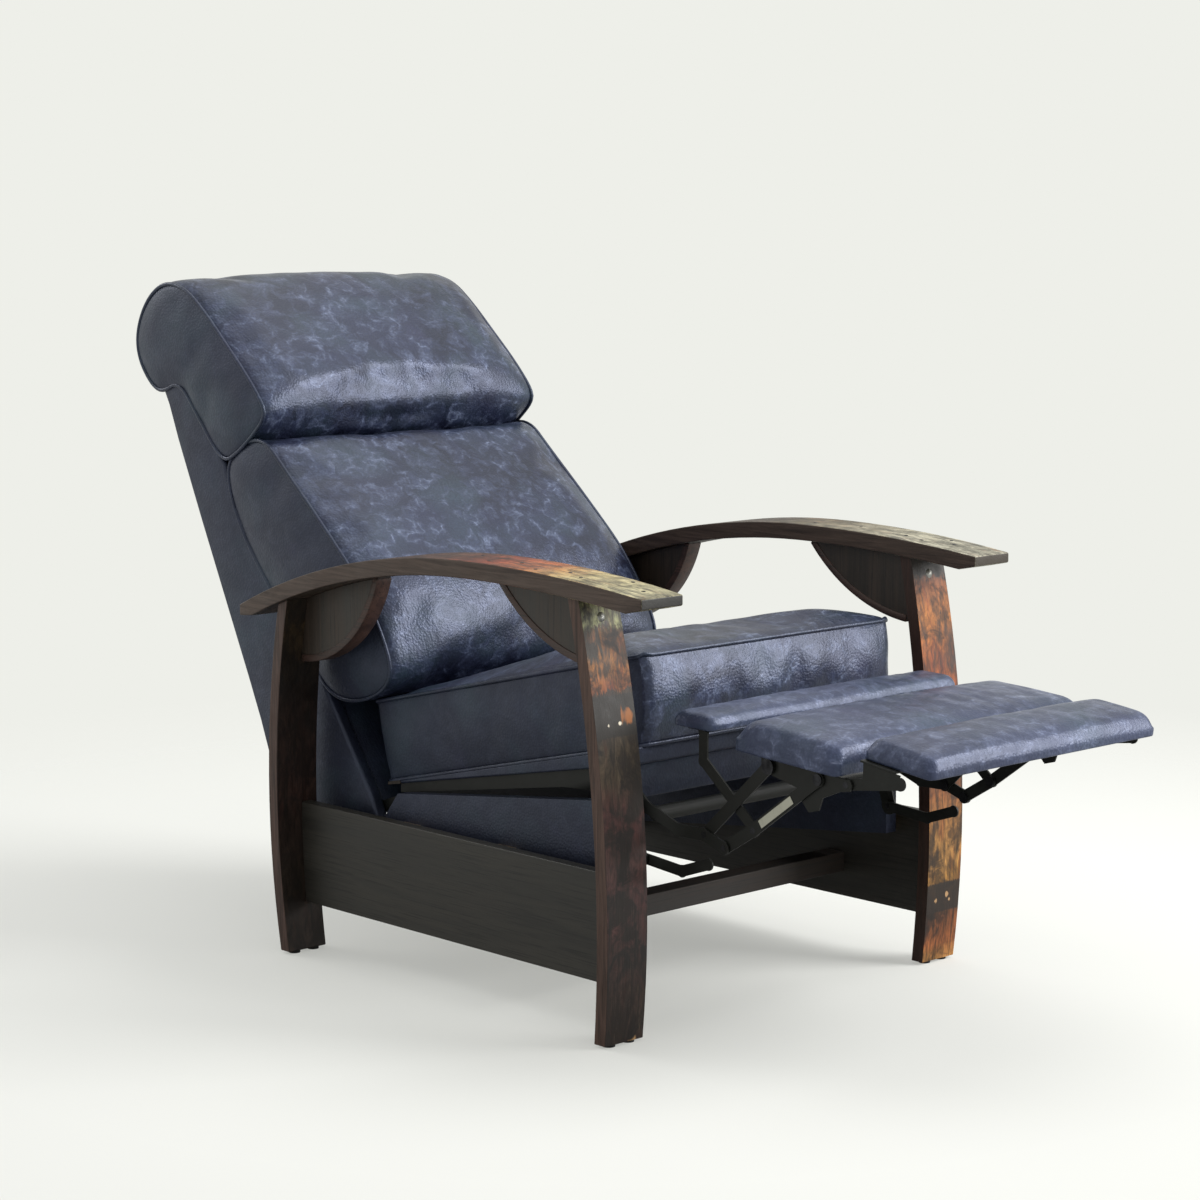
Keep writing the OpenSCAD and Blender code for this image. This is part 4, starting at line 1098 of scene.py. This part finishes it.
shell = covered("back_side_panels", 7.0, 4, joined("back_side_panels", "back_rear_panel"))
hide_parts("back_side_panels", "back_rear_panel")
lining = merged("back_lining")
bmesh.ops.scale(lining, vec=(LINING_SPREAD, 1, 1), verts=lining.verts)
lowered(lining)
covered("back_lining", 1.5, 2, lining)
for node in ("seat_front_rail", "seat_side_rails", "seat_front_panel"):
    covered(node, 4.0, 3)
for node in ("box_rail_right", "box_rail_left"):
    covered(node, 6.0, 4)

# %% [markdown]
# ## Filling
# The cloth runs once every cushion and pad is waiting. A level of subdivision then smooths the
# filled skins.

# %% Fill the cushions
fill_all()
for piece, node, body in (
    (seat_cushion, "seat_cushion", "seat"),
    (lumbar, "lumbar_cushion", "back"),
    (headrest, "headrest", "back"),
):
    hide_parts(node)
    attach(piece, body)
for word, pad in pads.items():
    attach(pad, word + "_panel")
for piece in (seat_cushion, lumbar, headrest, *pads.values()):
    finer = piece.modifiers.new("finer", "SUBSURF")
    finer.levels = finer.render_levels = 1
print("soft pieces", len(waiting))

# %% [markdown]
# ## Welts
# Every seam is finished with piping: a cord about 7 mm thick under a folded strip of the same
# leather. Each one is a closed tube along the seam's own row of points.

# %% Piping
WELT_RADIUS = 3.3


def welt(name, cushion, seam, body):
    """Piping along a row of a cushion's points."""
    line = bpy.data.curves.new(name, "CURVE")
    line.dimensions = "3D"
    line.bevel_depth, line.bevel_resolution = WELT_RADIUS / METRE, 3
    strand = line.splines.new("POLY")
    strand.points.add(len(seam) - 1)
    for point, i in zip(strand.points, seam):
        point.co = (*cushion.data.vertices[i].co, 1)
    strand.use_cyclic_u = True
    guide = placed(name + "_line", line)
    bpy.context.view_layer.update()
    mesh = bpy.data.meshes.new_from_object(guide.evaluated_get(bpy.context.evaluated_depsgraph_get()))
    bpy.data.objects.remove(guide)
    mesh.materials.clear()
    mesh.materials.append(welt_leather)
    piece = smooth(placed(name, mesh), 60)
    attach(piece, body)
    print(name, "follows", len(seam), "points")


def seat_rim(side):
    """The seam round the seat cushion's top (1) or underside (-1)."""
    def on_rim(a, b, c):
        return c * side > EDGE and max(abs(a), abs(b)) > EDGE

    return ordered(SEAT_COUNTS, on_rim, lambda a, b, c: math.atan2(b, a))


def side_loop(counts, side):
    """The seam round one side panel, from the rear of its underside over the front to the top."""
    def on_rim(a, b, c):
        return a * side > EDGE and max(abs(b), abs(c)) > EDGE

    return ordered(counts, on_rim, lambda a, b, c: math.atan2(b, c))


welt("seat_welt_top", seat_cushion, seat_rim(1), "seat")
welt("seat_welt_low", seat_cushion, seat_rim(-1), "seat")
for word, side in SIDES:
    welt("lumbar_welt_" + word, lumbar, side_loop(LUMBAR_COUNTS, side), "back")
    welt("headrest_welt_" + word, headrest, side_loop(HEAD_COUNTS, side), "back")

# %% [markdown]
# ## Stage and light
# The floor and the backdrop are one pale off-white. The camera sees them at their written
# colour, the floor still takes the chair's shadow and fades out towards its rim, and the light
# comes from large soft boxes.

# %% Floor and backdrop
PALE = "#EEEFE9"
FLOOR_GLOW = 0.43
FADE_START, FADE_END = 1.1, 2.6

shape = bmesh.new()
bmesh.ops.create_circle(shape, cap_ends=True, segments=96, radius=6)
floor_paint, tree, shader, place = blank("matt_floor")
shader.inputs["Base Color"].default_value = colour("#B7B7B3")
shader.inputs["Roughness"].default_value = 0.9
shader.inputs["Specular IOR Level"].default_value = 0.1
shader.inputs["Emission Color"].default_value = colour(PALE)
looked_at = put(tree, "LightPath", out="Is Camera Ray")
glow = put(tree, "Math", {0: looked_at, 1: FLOOR_GLOW}, operation="MULTIPLY")
tree.links.new(glow, shader.inputs["Emission Strength"])
far = put(tree, "VectorMath", {0: place}, out="Value", operation="LENGTH")
faded = put(tree, "MapRange", {0: far, 1: FADE_START, 2: FADE_END, 3: 1.0, 4: 0.0})
tree.links.new(faded, shader.inputs["Alpha"])
shown("floor", shape, [floor_paint])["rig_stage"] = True

world = bpy.data.worlds.new("studio")
bpy.context.scene.world = world
world.use_nodes = True
tree = world.node_tree
tree.nodes.clear()
fill_light = put(tree, "Background", {"Color": colour("#F2F4F6"), "Strength": 0.5})
backdrop = put(tree, "Background", {"Color": colour(PALE), "Strength": 1.0})
rays = put(tree, "LightPath").node.outputs
seen = put(tree, "Math", {0: rays["Is Camera Ray"], 1: rays["Is Glossy Ray"]}, operation="MAXIMUM")
seen = put(tree, "Math", {0: seen, 1: rays["Is Transmission Ray"]}, operation="MAXIMUM")
both = put(tree, "MixShader", {0: seen, 1: fill_light, 2: backdrop})
put(tree, "OutputWorld", {"Surface": both})
bpy.context.scene.view_settings.view_transform = "Standard"
print("floor fades from", FADE_START, "to", FADE_END, "m")

# %% Lamps
def soft_box(name, place, aim, width, height, power):
    """A lamp with a broad face. Places and sizes are in metres, the power in watts."""
    lamp = bpy.data.lights.new(name, "AREA")
    lamp.shape, lamp.size, lamp.size_y, lamp.energy = "RECTANGLE", width, height, power
    box = placed(name, lamp)
    box.location = place
    box.rotation_euler = (Vector(aim) - Vector(place)).to_track_quat("-Z", "Y").to_euler()
    print(name, "soft box,", power, "W")


soft_box("key", (3.3, -3.8, 4.2), (0, 0, 0.7), 3.0, 2.2, 270)
soft_box("low", (3.9, -4.6, 1.8), (0, 0, 0.6), 2.8, 2.0, 180)
soft_box("overhead", (0.6, 0.2, 4.2), (0, 0, 0.4), 3.6, 3.6, 60)
soft_box("rim", (-1.5, 4.2, 3.0), (0, 0, 0.6), 2.4, 1.6, 50)

# %% [markdown]
# ## Size
# The box round the dressed chair, leaving out the floor, is measured. The dressed chair
# may stand only a little proud of its CAD box.

# %% The size of the dressed chair
low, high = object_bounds()
